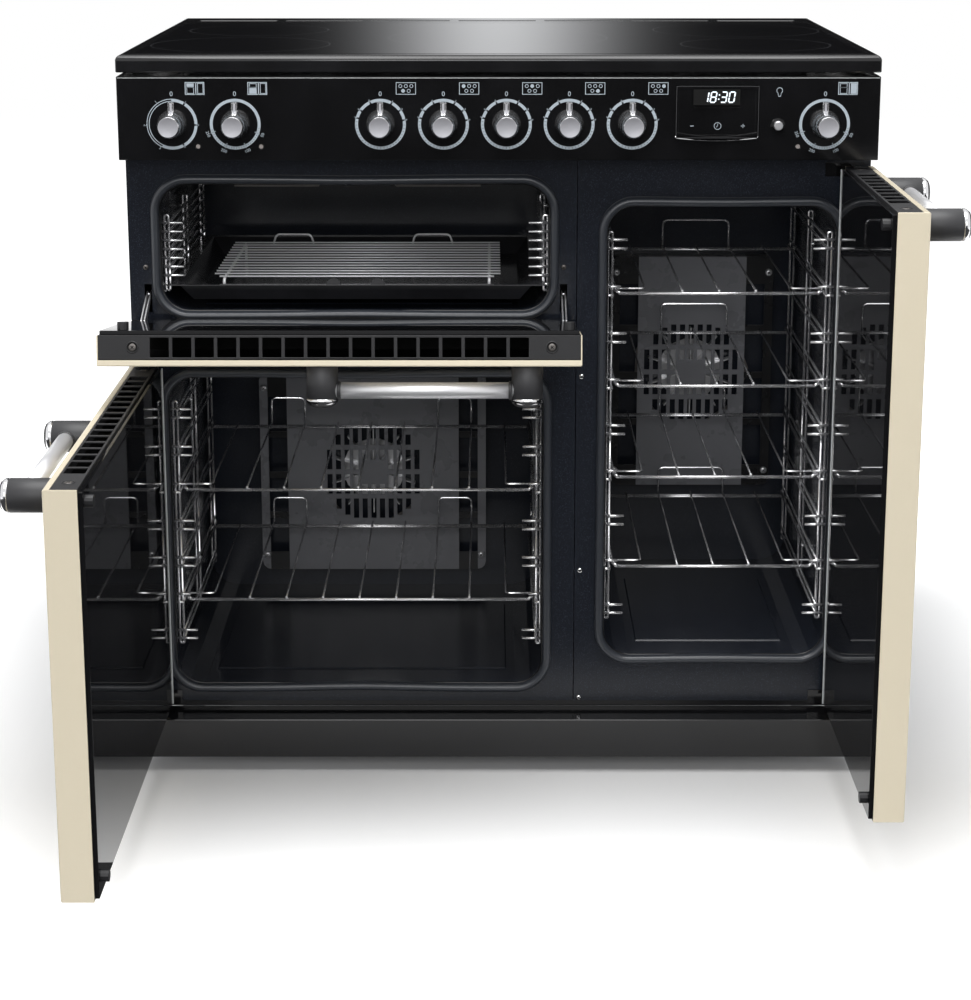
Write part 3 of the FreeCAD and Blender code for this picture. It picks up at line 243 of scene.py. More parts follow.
def doorGlass():
    finish = Finish("doorGlass")
    smear = finish.noise(11, 5.0, 0.65)
    return principled(finish, {
        "Base Color": finish.blend(smear, rgb(0.0045, 0.0045, 0.005), rgb(0.009, 0.009, 0.010)),
        "Roughness": 0.012 + finish.soft(smear, 0.45, 0.8) * 0.03,
        "Specular IOR Level": 0.36})


def chrome(name="chrome", tone=0.80, roughness=0.085, brushed=0.0, metal=1.0):
    finish = Finish(name)
    cloud = finish.noise(26, 3.0)
    settings = {
        "Base Color": finish.blend(cloud, rgb(tone, tone, tone * 1.01),
                                   rgb(tone * 0.9, tone * 0.9, tone * 0.93)),
        "Metallic": metal,
        "Roughness": roughness + cloud * 0.05}
    if brushed:
        strokes = finish.noise(260, 2.0, 0.5, (1.0, 14.0, 14.0))
        settings["Normal"] = finish.bump(strokes, brushed, 0.0003)
    return principled(finish, settings)


def turnedFace():
    # the fine rings left by turning on a knob's face
    finish = Finish("turnedFace")
    grain = finish.noise(2200, 2.0)
    return principled(finish, {
        "Base Color": finish.blend(grain, rgb(0.42, 0.42, 0.45), rgb(0.50, 0.50, 0.53)),
        "Metallic": 0.85, "Roughness": 0.42 + grain * 0.1,
        "Normal": finish.bump(grain, 0.10, 0.0002)})


def sealRubber():
    finish = Finish("sealRubber")
    grain = finish.noise(700, 3.0)
    cloud = finish.noise(18, 3.0)
    return principled(finish, {
        "Base Color": finish.blend(cloud, rgb(0.030, 0.034, 0.042), rgb(0.043, 0.048, 0.058)),
        "Roughness": 0.27 + grain * 0.10,
        "Specular IOR Level": 0.6,
        "Normal": finish.bump(grain, 0.10, 0.0004)})


def galvanised():
    finish = Finish("galvanised")
    flake = finish.node("ShaderNodeTexVoronoi", None, {"Vector": finish.spot(), "Scale": 90.0}, "Color")
    shade = finish.node("ShaderNodeSeparateColor", None, {0: flake}, 0)
    return principled(finish, {
        "Base Color": finish.blend(shade, rgb(0.33, 0.34, 0.36), rgb(0.50, 0.51, 0.53)),
        "Metallic": 0.9, "Roughness": 0.30 + shade * 0.18})


def brightAluminium():
    finish = Finish("brightAluminium")
    cloud = finish.noise(40, 3.0)
    return principled(finish, {
        "Base Color": finish.blend(cloud, rgb(0.78, 0.78, 0.79), rgb(0.66, 0.66, 0.68)),
        "Metallic": 0.6, "Roughness": 0.24 + cloud * 0.10})


def darkSteel():
    finish = Finish("darkSteel")
    cloud = finish.noise(60, 4.0)
    return principled(finish, {
        "Base Color": finish.blend(cloud, rgb(0.10, 0.09, 0.085), rgb(0.19, 0.18, 0.17)),
        "Metallic": 0.8, "Roughness": 0.36 + cloud * 0.15})


def screenPrint():
    finish = Finish("screenPrint")
    grain = finish.noise(2600, 2.0)
    return principled(finish, {
        "Base Color": finish.blend(grain, rgb(0.36, 0.42, 0.47), rgb(0.47, 0.53, 0.58)),
        "Roughness": 0.45 + grain * 0.1})


def glowing(name, colour, strength):
    finish = Finish(name)
    grain = finish.noise(900, 1.0)
    return principled(finish, {
        "Base Color": finish.blend(grain, rgb(*[c * 0.6 for c in colour]), rgb(*colour)),
        "Roughness": 0.4, "Emission Color": rgb(*colour), "Emission Strength": strength})


def neonLens():
    finish = Finish("neonLens")
    grain = finish.noise(1500, 2.0)
    return principled(finish, {
        "Base Color": finish.blend(grain, rgb(0.20, 0.18, 0.17), rgb(0.38, 0.34, 0.32)),
        "Roughness": 0.16 + grain * 0.1, "Coat Weight": 0.5, "Coat Roughness": 0.05})


# light grey for strips that stand in for the light an edge catches: painted highlight
def paintedEdgeHighlight():
    finish = Finish("paintedEdgeHighlight")
    grain = finish.noise(300, 2.0)
    return principled(finish, {
        "Base Color": finish.blend(grain, rgb(0.56, 0.58, 0.58), rgb(0.70, 0.72, 0.72)),
        "Roughness": 0.25 + grain * 0.15})


def deepBlack():
    finish = Finish("deepBlack")
    grain = finish.noise(500, 2.0)
    return principled(finish, {
        "Base Color": finish.blend(grain, rgb(0.002, 0.002, 0.002), rgb(0.006, 0.006, 0.006)),
        "Roughness": 0.5 + grain * 0.1, "Specular IOR Level": 0.2})


finishes = {
    "cream": creamEnamel(), "enamel": speckledEnamel(), "hob": hobGlass(),
    "gloss": glossBlack(), "panel": glossBlack("panelBlack", 0.08, 0.36, 0.0045),
    "pan": glossBlack("panBlack", 0.12, 0.5, 0.022), "plastic": blackPlastic(), "matte": matteBlack(),
    "mainPaintedReflection": blackCoverPaintedReflection("mainCoverPaintedReflection", (-0.176, 0.1215, 0.1485)),
    "tallPaintedReflection": blackCoverPaintedReflection("tallCoverPaintedReflection", (0.2725, 0.0750, 0.2000)),
    "mirror": doorGlass(), "edge": paintedEdgeHighlight(), "seal": sealRubber(),
    "chrome": chrome(), "wire": chrome("wireChrome", 0.92, 0.15, metal=0.82),
    # the trivet is chrome, but its near-white, barely metal base stands in for bright reflections: painted
    # sheen
    "trivetPaintedSheen": chrome("trivetChromePaintedSheen", 0.96, 0.22, metal=0.12),
    # the weld spots are real, and their near-white, barely metal base is a painted glint
    "weld": chrome("weldPaintedGlint", 0.96, 0.20, metal=0.15),
    "bar": chrome("brushedBar", 0.92, 0.34, 0.08, 0.72), "knob": chrome("knobChrome", 0.74, 0.17),
    "button": chrome("pushButton", 0.78, 0.30), "face": turnedFace(),
    "zinc": galvanised(), "fan": brightAluminium(), "element": darkSteel(),
    "print": screenPrint(), "digits": glowing("clockDigits", (0.85, 0.93, 1.0), 0.9),
    "lens": neonLens(), "dark": deepBlack(),
}
print("finishes made,", len(finishes))


nodeFinish = {
    "side_panels": "gloss", "back_panel": "zinc", "base_frame": "zinc", "plinth": "gloss",
    "levelling_feet": "chrome", "hob_frame": "gloss", "hob_glass": "hob", "control_panel": "panel",
    "timer_module": "panel", "indicator_lenses": "lens", "control_switches": "plastic",
    "light_button": "button", "main_fan_cover": "mainPaintedReflection", "tall_fan_cover": "tallPaintedReflection",
    "fan_motors": "zinc", "heating_elements": "element", "grill_pan": "pan", "grill_trivet": "wire",
    "grill_stay_arms": "button", "door_hinge_brackets": "gloss", "terminal_cover": "plastic",
}
for oven in ("grill", "main", "tall"):
    nodeFinish.update({oven + "_cavity": "enamel", oven + "_seal": "seal", oven + "_side_racks": "wire"})
nodeFinish.update({oven + "_fan_impeller": "fan" for oven in ("main", "tall")})
nodeFinish.update({f"knob_{n}": "knob" for n in range(1, 9)})
nodeFinish.update({f"main_shelf_{n}": "wire" for n in (1, 2)})
nodeFinish.update({f"tall_shelf_{n}": "wire" for n in (1, 2, 3, 4)})
for door in ("grill_door", "main_door", "tall_door"):
    nodeFinish.update({door + "_skin": "cream", door + "_rail": "plastic", door + "_glass": "mirror",
                       door + "_handle": "matte"})
for name, node in nodes.items():
    node.data.materials.clear()
    node.data.materials.append(finishes[nodeFinish[name]])


# the doors are made shut and then swung to where the CAD has them
def about(pivot, axis, degrees):
    there = Matrix.Translation(Vector(pivot))
    return there @ Matrix.Rotation(math.radians(degrees), 4, axis) @ there.inverted()


doorTurn = {
    "main_door": about((-place["sidePivot"][0], place["sidePivot"][1], 0), "Z", -90),
    "tall_door": about((place["sidePivot"][0], place["sidePivot"][1], 0), "Z", 90),
    "grill_door": about((0, *place["grillPivot"]), "X", place["grillTurn"]),
}
doorBox = {"main_door": (-0.449, 0.094, 0.0815, 0.5235), "tall_door": (0.098, 0.449, 0.0815, 0.769),
           "grill_door": (-0.449, 0.093, 0.530, 0.769)}


# the enamel covers the outside of a door skin, and its inside is black
def blackInside(door):
    node, (x0, x1, z0, z1) = nodes[door + "_skin"], doorBox[door]
    node.data.materials.append(finishes["dark"])
    shut = doorTurn[door].inverted() @ node.matrix_world
    for face in node.data.polygons:
        spot = shut @ face.center
        outside = min(abs(spot.x - x0), abs(spot.x - x1), abs(spot.z - z0), abs(spot.z - z1)) < 0.0011
        face.material_index = 0 if outside or spot.y < front + 0.0008 else 1


for door in doorBox:
    blackInside(door)

# the base frame is black where it shows above the plinth, and plain zinc behind
base = nodes["base_frame"]
base.data.materials.append(finishes["panel"])
for face in base.data.polygons:
    face.material_index = 1 if (base.matrix_world @ face.center).y < 0.0125 else 0

# a small round on the pressed and moulded edges
softened = {"hob_frame": 0.0014, "control_panel": 0.0010, "plinth": 0.0010, "side_panels": 0.0006,
            "door_hinge_brackets": 0.0004, "terminal_cover": 0.0010, "grill_stay_arms": 0.0004,
            "grill_pan": 0.0008, "timer_module": 0.0004}
for door in doorBox:
    softened.update({door + "_skin": 0.0007, door + "_rail": 0.0005, door + "_glass": 0.0005})
for name, width in softened.items():
    weld = nodes[name].modifiers.new("weld", "WELD")
    weld.merge_threshold = 0.00001
    bevel = nodes[name].modifiers.new("edges", "BEVEL")
    bevel.width = width
    bevel.segments = 2
    bevel.limit_method = "ANGLE"
    bevel.angle_limit = math.radians(35)
    bevel.use_clamp_overlap = True
print("CAD nodes dressed")


# gathers vertices and faces for one piece, with a finish for each face
class Build:
    def __init__(self):
        self.verts, self.faces, self.picks, self.finishes = [], [], [], []

    def pick(self, name):
        if name not in self.finishes:
            self.finishes.append(name)
        return self.finishes.index(name)

    def add(self, verts, faces, finish):
        start = len(self.verts)
        self.verts += [tuple(v) for v in verts]
        self.faces += [tuple(start + i for i in face) for face in faces]
        self.picks += [self.pick(finish)] * len(faces)

    def lathe(self, origin, along, profile, steps=48):
        # profile: distance along the axis, radius, finish of the band that starts there
        turn = Vector((0, 0, 1)).rotation_difference(Vector(along).normalized())
        rings = []
        for distance, radius, finish in profile:
            ring = []
            for step in range(steps):
                angle = 2 * math.pi * step / steps
                spot = Vector((radius * math.cos(angle), radius * math.sin(angle), distance))
                ring.append(Vector(origin) + turn @ spot)
            rings.append(ring)
        for low, high, (distance, radius, finish) in zip(rings, rings[1:], profile):
            faces = [(s, (s + 1) % steps, steps + (s + 1) % steps, steps + s) for s in range(steps)]
            self.add(low + high, faces, finish)
        for ring, finish, flip in ((rings[0], profile[0][2], True), (rings[-1], profile[-1][2], False)):
            face = tuple(range(steps))
            self.add(ring, [face[::-1] if flip else face], finish)

    def box(self, low, high, finish):
        (x0, y0, z0), (x1, y1, z1) = low, high
        verts = [(x, y, z) for x in (x0, x1) for y in (y0, y1) for z in (z0, z1)]
        faces = [(0, 1, 3, 2), (4, 6, 7, 5), (0, 4, 5, 1), (2, 3, 7, 6), (0, 2, 6, 4), (1, 5, 7, 3)]
        self.add(verts, faces, finish)

    def tube(self, points, radius, finish, sides=10, closed=False):
        points = [Vector(p) for p in points]
        count = len(points)
        rings = []
        side = None
        for index, point in enumerate(points):
            before = points[index - 1] if index or closed else point
            after = points[(index + 1) % count] if index < count - 1 or closed else point
            heading = (after - before).normalized()
            if side is None:
                side = heading.orthogonal().normalized()
            side = (side - heading * side.dot(heading)).normalized()
            up = heading.cross(side)
            rings.append([point + radius * (math.cos(a) * side + math.sin(a) * up)
                          for a in (2 * math.pi * s / sides for s in range(sides))])
        pairs = list(zip(rings, rings[1:])) + ([(rings[-1], rings[0])] if closed else [])
        for low, high in pairs:
            self.add(low + high, [(s, (s + 1) % sides, sides + (s + 1) % sides, sides + s)
                                  for s in range(sides)], finish)
        if not closed:
            self.add(rings[0], [tuple(range(sides))[::-1]], finish)
            self.add(rings[-1], [tuple(range(sides))], finish)

    def screw(self, spot, facing, radius, finish="chrome", cross=True, countersunk=False):
        facing = Vector(facing).normalized()
        spot = Vector(spot)
        rise = radius * (0.10 if countersunk else 0.55)
        self.lathe(spot, facing, [
            (-radius * 0.2, radius, finish), (rise * 0.4, radius * 0.98, finish),
            (rise * 0.8, radius * 0.78, finish), (rise, radius * 0.4, finish)], 20)
        # the cross recess is drawn in deep black: painted shade in the recess
        if cross:
            side = facing.orthogonal().normalized()
            other = facing.cross(side)
            for long, wide in ((side, other), (other, side)):
                centre = spot + facing * rise
                ends = [centre + long * a * radius * 0.5 + wide * b * radius * 0.11
                        for a, b in ((-1, -1), (1, -1), (1, 1), (-1, 1))]
                low = [p - facing * radius * 0.15 for p in ends]
                high = [p + facing * radius * 0.03 for p in ends]
                self.add(low + high, [(4, 5, 6, 7), (0, 1, 5, 4), (1, 2, 6, 5), (2, 3, 7, 6),
                                      (3, 0, 4, 7)], "dark")

    def finish(self, name, body, turn=None, smooth=35, slot=None, replaces=()):
        mesh = bpy.data.meshes.new(name)
        verts = [turn @ Vector(v) for v in self.verts] if turn else self.verts
        mesh.from_pydata(verts, [], self.faces)
        for key in self.finishes:
            mesh.materials.append(finishes[key])
        mesh.polygons.foreach_set("material_index", self.picks)
        mesh.update()
        obj = bpy.data.objects.new(name, mesh)
        bpy.context.scene.collection.objects.link(obj)
        weld = obj.modifiers.new("weld", "WELD")
        weld.merge_threshold = 0.000005
        if smooth:
            mesh.shade_smooth()
            mesh.set_sharp_from_angle(angle=math.radians(smooth))
        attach(obj, body)
        if replaces:
            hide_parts(*replaces)
        return obj


# flat print on the control panel, at one depth
class Printing:
    def __init__(self, depth):
        self.build, self.depth = Build(), depth

    def shape(self, points, finish="print"):
        self.build.add([(x, self.depth, z) for x, z in points], [tuple(range(len(points)))], finish)

    def arc(self, x, z, inner, outer, start, end, finish="print", step=4.0):
        # angles run clockwise from the top, in degrees
        count = max(2, int(abs(end - start) / step))
        angles = [math.radians(start + (end - start) * n / count) for n in range(count + 1)]
        verts = [(x + r * math.sin(a), self.depth, z + r * math.cos(a))
                 for a in angles for r in (inner, outer)]
        faces = [(2 * n, 2 * n + 1, 2 * n + 3, 2 * n + 2) for n in range(count)]
        self.build.add(verts, faces, finish)

    def bar(self, x0, x1, z0, z1, finish="print"):
        self.shape([(x0, z0), (x1, z0), (x1, z1), (x0, z1)], finish)

    def outline(self, x0, x1, z0, z1, line, finish="print"):
        self.bar(x0, x1, z0, z0 + line, finish)
        self.bar(x0, x1, z1 - line, z1, finish)
        self.bar(x0, x0 + line, z0 + line, z1 - line, finish)
        self.bar(x1 - line, x1, z0 + line, z1 - line, finish)

    def stroke(self, x0, z0, x1, z1, line, finish="print"):
        along = Vector((x1 - x0, z1 - z0)).normalized() * line / 2
        side = Vector((-along.y, along.x))
        self.shape([(x0 - side.x, z0 - side.y), (x1 - side.x, z1 - side.y),
                    (x1 + side.x, z1 + side.y), (x0 + side.x, z0 + side.y)], finish)

    def text(self, words, x, z, size, turn=0.0, finish="print"):
        curve = bpy.data.curves.new("words", "FONT")
        curve.body, curve.size, curve.align_x, curve.align_y = words, size, "CENTER", "CENTER"
        curve.resolution_u = 3
        obj = bpy.data.objects.new("words", curve)
        bpy.context.scene.collection.objects.link(obj)
        bpy.context.view_layer.update()
        flat = bpy.data.meshes.new_from_object(obj.evaluated_get(bpy.context.evaluated_depsgraph_get()))
        angle = math.radians(turn)
        verts = [(x + v.co.x * math.cos(angle) + v.co.y * math.sin(angle), self.depth,
                  z - v.co.x * math.sin(angle) + v.co.y * math.cos(angle)) for v in flat.vertices]
        self.build.add(verts, [tuple(p.vertices) for p in flat.polygons], finish)
        bpy.data.objects.remove(obj)
        bpy.data.meshes.remove(flat)
        bpy.data.curves.remove(curve)


dials = {"outer": 0.0300, "inner": 0.0265, "zero": 0.0355, "signs": 0.8660, "gap": 4.0,
         "tick": (0.0272, 0.0292, 0.00045)}
knobPlaces = (-0.3851, -0.3106, -0.1392, -0.0649, 0.0094, 0.0834, 0.1578, 0.3847)


def dialGaps(printing, x, gaps, start=0.0, end=360.0):
    z, aside = place["knobRow"], dials["gap"] / 2
    edges = [start] + [edge for gap in gaps for edge in (gap - aside, gap + aside)] + [end]
    for low, high in zip(edges[::2], edges[1::2]):
        printing.arc(x, z, dials["inner"], dials["outer"], low, high)


def dialTicks(printing, x, angles):
    z, (inner, outer, line) = place["knobRow"], dials["tick"]
    for angle in angles:
        a = math.radians(angle)
        printing.stroke(x + inner * math.sin(a), z + inner * math.cos(a),
                        x + outer * math.sin(a), z + outer * math.cos(a), line, "dark")


def around(printing, x, words, angle, radius, size):
    a = math.radians(angle)
    lean = angle if angle < 90 or angle > 270 else angle - 180
    printing.text(words, x + radius * math.sin(a), place["knobRow"] + radius * math.cos(a), size, lean)


def hobDial(printing, over, x):
    dialGaps(printing, x, (28, 55, 80, 285, 305, 335))
    dialTicks(over, x, [92 + n * 8 for n in range(24)])
    for words, angle in (("1", 28), ("2", 55), ("3", 80), ("4", 285), ("5", 305), ("6", 335)):
        around(over, x, words, angle, 0.0300, 0.0052)


def ovenDial(printing, over, x):
    dialGaps(printing, x, (), 0.0, 360.0)
    dialTicks(over, x, [100 + n * 6 for n in range(27)])
    for words, angle in (("50", 112), ("100", 156), ("200", 204), ("250", 250)):
        around(printing, x, words, angle, 0.0345, 0.0050)
        a = math.radians(angle)
        printing.stroke(x + 0.0245 * math.sin(a), place["knobRow"] + 0.0245 * math.cos(a),
                        x + 0.0312 * math.sin(a), place["knobRow"] + 0.0312 * math.cos(a), 0.0008)


def twinDial(printing, over, x):
    z = place["knobRow"]
    dialGaps(printing, x, (32, 92, 152), 0.0, 205.0)
    for inner, outer in ((0.0265, 0.0274), (0.0291, 0.0300)):
        printing.arc(x, z, inner, outer, 205, 360)
    for words, angle in (("1", 32), ("2", 92), ("3", 152)):
        around(over, x, words, angle, 0.0300, 0.0048)
    for words, angle in (("3", 208), ("2", 268), ("1", 325)):
        around(printing, x, words, angle, 0.0318, 0.0048)


def zoneSign(printing, x, z, chosen):
    spots = ((-0.0065, 0.0028), (0.0, 0.0028), (0.0065, 0.0028), (-0.0033, -0.0028), (0.0033, -0.0028))
    printing.outline(x - 0.0118, x + 0.0118, z - 0.0072, z + 0.0072, 0.0008)
    for index, (dx, dz) in enumerate(spots):
        inner = 0.0 if index == chosen else 0.0015
        printing.arc(x + dx, z + dz, inner, 0.0022, 0, 360, step=20)


def ovenSign(printing, x, z, filled):
    # filled: which of the three compartments the knob works
    printing.outline(x - 0.0115, x + 0.0115, z - 0.0075, z + 0.0075, 0.0010)
    printing.bar(x + 0.0008, x + 0.0020, z - 0.0075, z + 0.0075)
    boxes = {"grill": (-0.0095, -0.0008, 0.0008, 0.0060), "main": (-0.0095, -0.0008, -0.0062, 0.0016),
             "tall": (0.0032, 0.0102, -0.0062, 0.0062)}
    for name, (x0, x1, z0, z1) in boxes.items():
        if name == filled:
            printing.bar(x + x0, x + x1, z + z0, z + z1)
        else:
            printing.outline(x + x0, x + x1, z + z0, z + z1, 0.0007)


def controlPrint():
    printing, over = Printing(front - 0.00012), Printing(front - 0.00020)
    z = place["knobRow"]
    twinDial(printing, over, knobPlaces[0])
    ovenDial(printing, over, knobPlaces[1])
    for x in knobPlaces[2:7]:
        hobDial(printing, over, x)
    ovenDial(printing, over, knobPlaces[7])
    for x in knobPlaces:
        printing.text("0", x, z + dials["zero"], 0.0080)
    for x, filled in ((-0.3573, "grill"), (-0.2836, "main"), (0.4110, "tall")):
        ovenSign(printing, x, dials["signs"], filled)
    for x, chosen in zip((-0.1089, -0.0345, 0.0397, 0.1137, 0.1880), (3, 0, 1, 4, 2)):
        zoneSign(printing, x, dials["signs"], chosen)
    bulbX, bulbZ = 0.3307, 0.8635
    printing.arc(bulbX, bulbZ, 0.0030, 0.0038, -150, 150, step=15)
    for side in (-1, 1):
        printing.stroke(bulbX + side * 0.0019, bulbZ - 0.0030, bulbX + side * 0.0013, bulbZ - 0.0060, 0.0007)
    printing.bar(bulbX - 0.0014, bulbX + 0.0014, bulbZ - 0.0072, bulbZ - 0.0062)
    printing.build.finish("dialPrint", "body", smooth=None)
    over.build.finish("dialMarks", "body", smooth=None)


def clock():
    # the window, its four figures and the touch signs stand on the timer's front
    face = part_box("timer_module")[0].y
    look = {
        "rim": (0.2090, 0.3062, 0.8080, 0.8692), "window": (0.2290, 0.2840, 0.8470, 0.8655),
        "figures": (("1", 0.2392), ("8", 0.2485), ("3", 0.2608), ("0", 0.2701)), "foot": 0.8503,
        "digit": (0.0062, 0.0120), "lean": 0.16, "line": 0.0015, "cut": 0.09, "colon": 0.2581,
        "signRow": 0.8224, "minus": (0.2257, 0.2300), "plus": (0.2856, 0.2902), "timer": 0.2580,
    }
    rim = Printing(face - 0.00006)
    rim.outline(*look["rim"], 0.0007, "matte")
    rim.build.finish("timerEdge", "body", smooth=None)
    window = Printing(face - 0.00010)
    window.bar(*look["window"], "dark")
    window.build.finish("clockWindow", "body", smooth=None)
    lit = Printing(face - 0.00018)
    segments = {"a": ((0, 1), (1, 1)), "b": ((1, 1), (1, .5)), "c": ((1, .5), (1, 0)),
                "d": ((0, 0), (1, 0)), "e": ((0, 0), (0, .5)), "f": ((0, .5), (0, 1)),
                "g": ((0, .5), (1, .5))}
    shown = {"1": "bc", "8": "abcdefg", "3": "abcdg", "0": "abcdef"}
    (wide, high), lean, cut = look["digit"], look["lean"], look["cut"]
    for figure, left in look["figures"]:
        for key in shown[figure]:
            (u0, v0), (u1, v1) = segments[key]
            if u0 != u1:
                u0, u1 = u0 + cut, u1 - cut
            if v0 != v1:
                step = math.copysign(cut / 2, v1 - v0)
                v0, v1 = v0 + step, v1 - step
            ends = [(left + u * wide + v * high * lean, look["foot"] + v * high)
                    for u, v in ((u0, v0), (u1, v1))]
            lit.stroke(*ends[0], *ends[1], look["line"], "digits")
    for v in (0.3, 0.72):
        lit.arc(look["colon"] + v * high * lean, look["foot"] + v * high, 0, 0.0009, 0, 360, "digits", 30)
    lit.build.finish("clockFigures", "body", smooth=None)
    signs = Printing(face - 0.00012)
    row, middle = look["signRow"], look["timer"]
    signs.bar(*look["minus"], row - 0.0004, row + 0.0004)
    signs.bar(*look["plus"], row - 0.0004, row + 0.0004)
    signs.bar(0.2875, 0.2883, row - 0.0023, row + 0.0023)
    signs.arc(middle, row, 0.0037, 0.0044, 0, 360, step=12)
    signs.stroke(middle, row + 0.0028, middle, row, 0.0006)
    signs.stroke(middle, row, middle - 0.0015, row - 0.0016, 0.0006)
    signs.build.finish("touchSigns", "body", smooth=None)


def panelTopHighlight():
    # a light grey strip along the top edge of the panel's glass: painted highlight
    look = {"half": 0.4480, "proud": 0.0003, "low": 0.8780, "high": 0.8786}
    build = Build()
    build.box((-look["half"], front - look["proud"], look["low"]), (look["half"], front, look["high"]), "edge")
    build.finish("panelTopHighlight", "body", smooth=None)


def timerLip():
    # the chrome lip bows down under the clock and turns up at both ends
    look = {"middle": 0.2577, "half": 0.0490, "z": 0.8075, "bow": 0.0030, "turnUp": 0.0022, "radius": 0.0009}
    build = Build()
    points = []
    for t in (-1, -0.97, -0.9, -0.75, -0.5, -0.25, 0, 0.25, 0.5, 0.75, 0.9, 0.97, 1):
        rise = look["turnUp"] if abs(t) == 1 else 0
        points.append((look["middle"] + look["half"] * t, front - 0.0008,
                       look["z"] - look["bow"] * (1 - t * t) + rise))
    build.tube(points, look["radius"], "chrome", 8)
    build.finish("timerLip", "body")


controlPrint()
clock()
panelTopHighlight()
timerLip()
print("control panel printed")


def knobPiece(number, x):
    look = {"skirt": 0.0170, "body": 0.0138, "face": 0.0117, "reach": 0.0340, "pointer": (0.0034, 0.0275)}
    skirt, body, face, reach = look["skirt"], look["body"], look["face"], look["reach"]
    build = Build()
    origin = (x, front - 0.001, place["knobRow"])
    build.lathe(origin, (0, -1, 0), [
        (0.0000, skirt * 0.97, "knob"), (0.0010, skirt, "knob"), (0.0034, skirt, "knob"),
        (0.0046, skirt - 0.0006, "knob"), (0.0085, body + 0.0019, "knob"), (0.0120, body + 0.0006, "knob"),
        (0.0150, body, "knob"), (reach - 0.0056, body - 0.0002, "knob"),
        (reach - 0.0036, body - 0.0008, "knob"),
        (reach - 0.0016, face + 0.0003, "knob"), (reach - 0.0010, face, "face"),
        (reach - 0.0012, face - 0.0008, "face"), (reach - 0.0012, 0.0005, "face")], 56)
    half, tip = look["pointer"]
    z = place["knobRow"]
    low, high = front - 0.0070, front - 0.0030
    build.box((x - half, low, z + 0.0120), (x + half, high, z + tip - 0.0016), "knob")
    build.box((x - half * 0.35, low - 0.0003, z + 0.0165), (x + half * 0.35, low, z + tip - 0.0030), "face")
    node = f"knob_{number}"
    knob = build.finish(f"knobTurned_{number}", node, slot="chrome_plastic", replaces=(node,))
    bevel = knob.modifiers.new("edges", "BEVEL")
    bevel.width, bevel.segments, bevel.limit_method = 0.0003, 2, "ANGLE"


for number, x in enumerate(knobPlaces, 1):
    knobPiece(number, x)


def handle(door, first, second, z, reach):
    look = {"radius": 0.01775, "bar": 0.00925, "standoff": 0.029, "ring": 0.006, "dome": 0.004}
    build = Build()
    radius, ring = look["radius"], reach - look["dome"] - look["ring"]
    for x in (first, second):
        build.lathe((x, front, z), (0, -1, 0), [
            (0.0, radius - 0.0012, "matte"), (0.0012, radius, "matte"), (ring - 0.0012, radius, "matte"),
            (ring - 0.0006, radius - 0.0006, "matte"), (ring, radius - 0.0006, "chrome"),
            (ring + 0.0003, radius, "chrome"), (ring + 0.0030, radius, "chrome"),
            (ring + 0.0048, radius - 0.0008, "chrome"), (reach - look["dome"], radius - 0.0020, "matte"),
            (reach - 0.0022, radius - 0.0034, "matte"), (reach - 0.0009, radius - 0.0065, "matte"),
            (reach - 0.0001, radius - 0.0120, "matte"), (reach, 0.0008, "matte")], 64)
        build.lathe((x, front, z), (0, -1, 0), [
            (-0.0002, radius + 0.0012, "matte"), (0.0010, radius + 0.0012, "matte"),
            (0.0016, radius, "matte")], 64)
    edge = radius * 0.72
    low, high = min(first, second) + edge, max(first, second) - edge
    build.lathe((low, front - look["standoff"], z), (1, 0, 0), [
        (0.0, look["bar"], "bar"), (high - low, look["bar"], "bar")], 48)
    for x, way in ((low + 0.0045, 1), (high - 0.0045, -1)):
        build.lathe((x, front - look["standoff"], z), (way, 0, 0), [
            (0.0, look["bar"] + 0.0014, "matte"), (0.0030, look["bar"] + 0.0014, "matte"),
            (0.0038, look["bar"] + 0.0002, "matte")], 48)
    build.finish(door + "Pull", door, turn=doorTurn[door], slot="handle_metal",
                 replaces=(door + "_handle",))


handle("main_door", 0.034, -0.197, 0.5005, 0.055)
handle("tall_door", 0.158, 0.389, 0.746, 0.055)
handle("grill_door", 0.032, -0.199, 0.746, 0.048)
print("knobs and handles made")


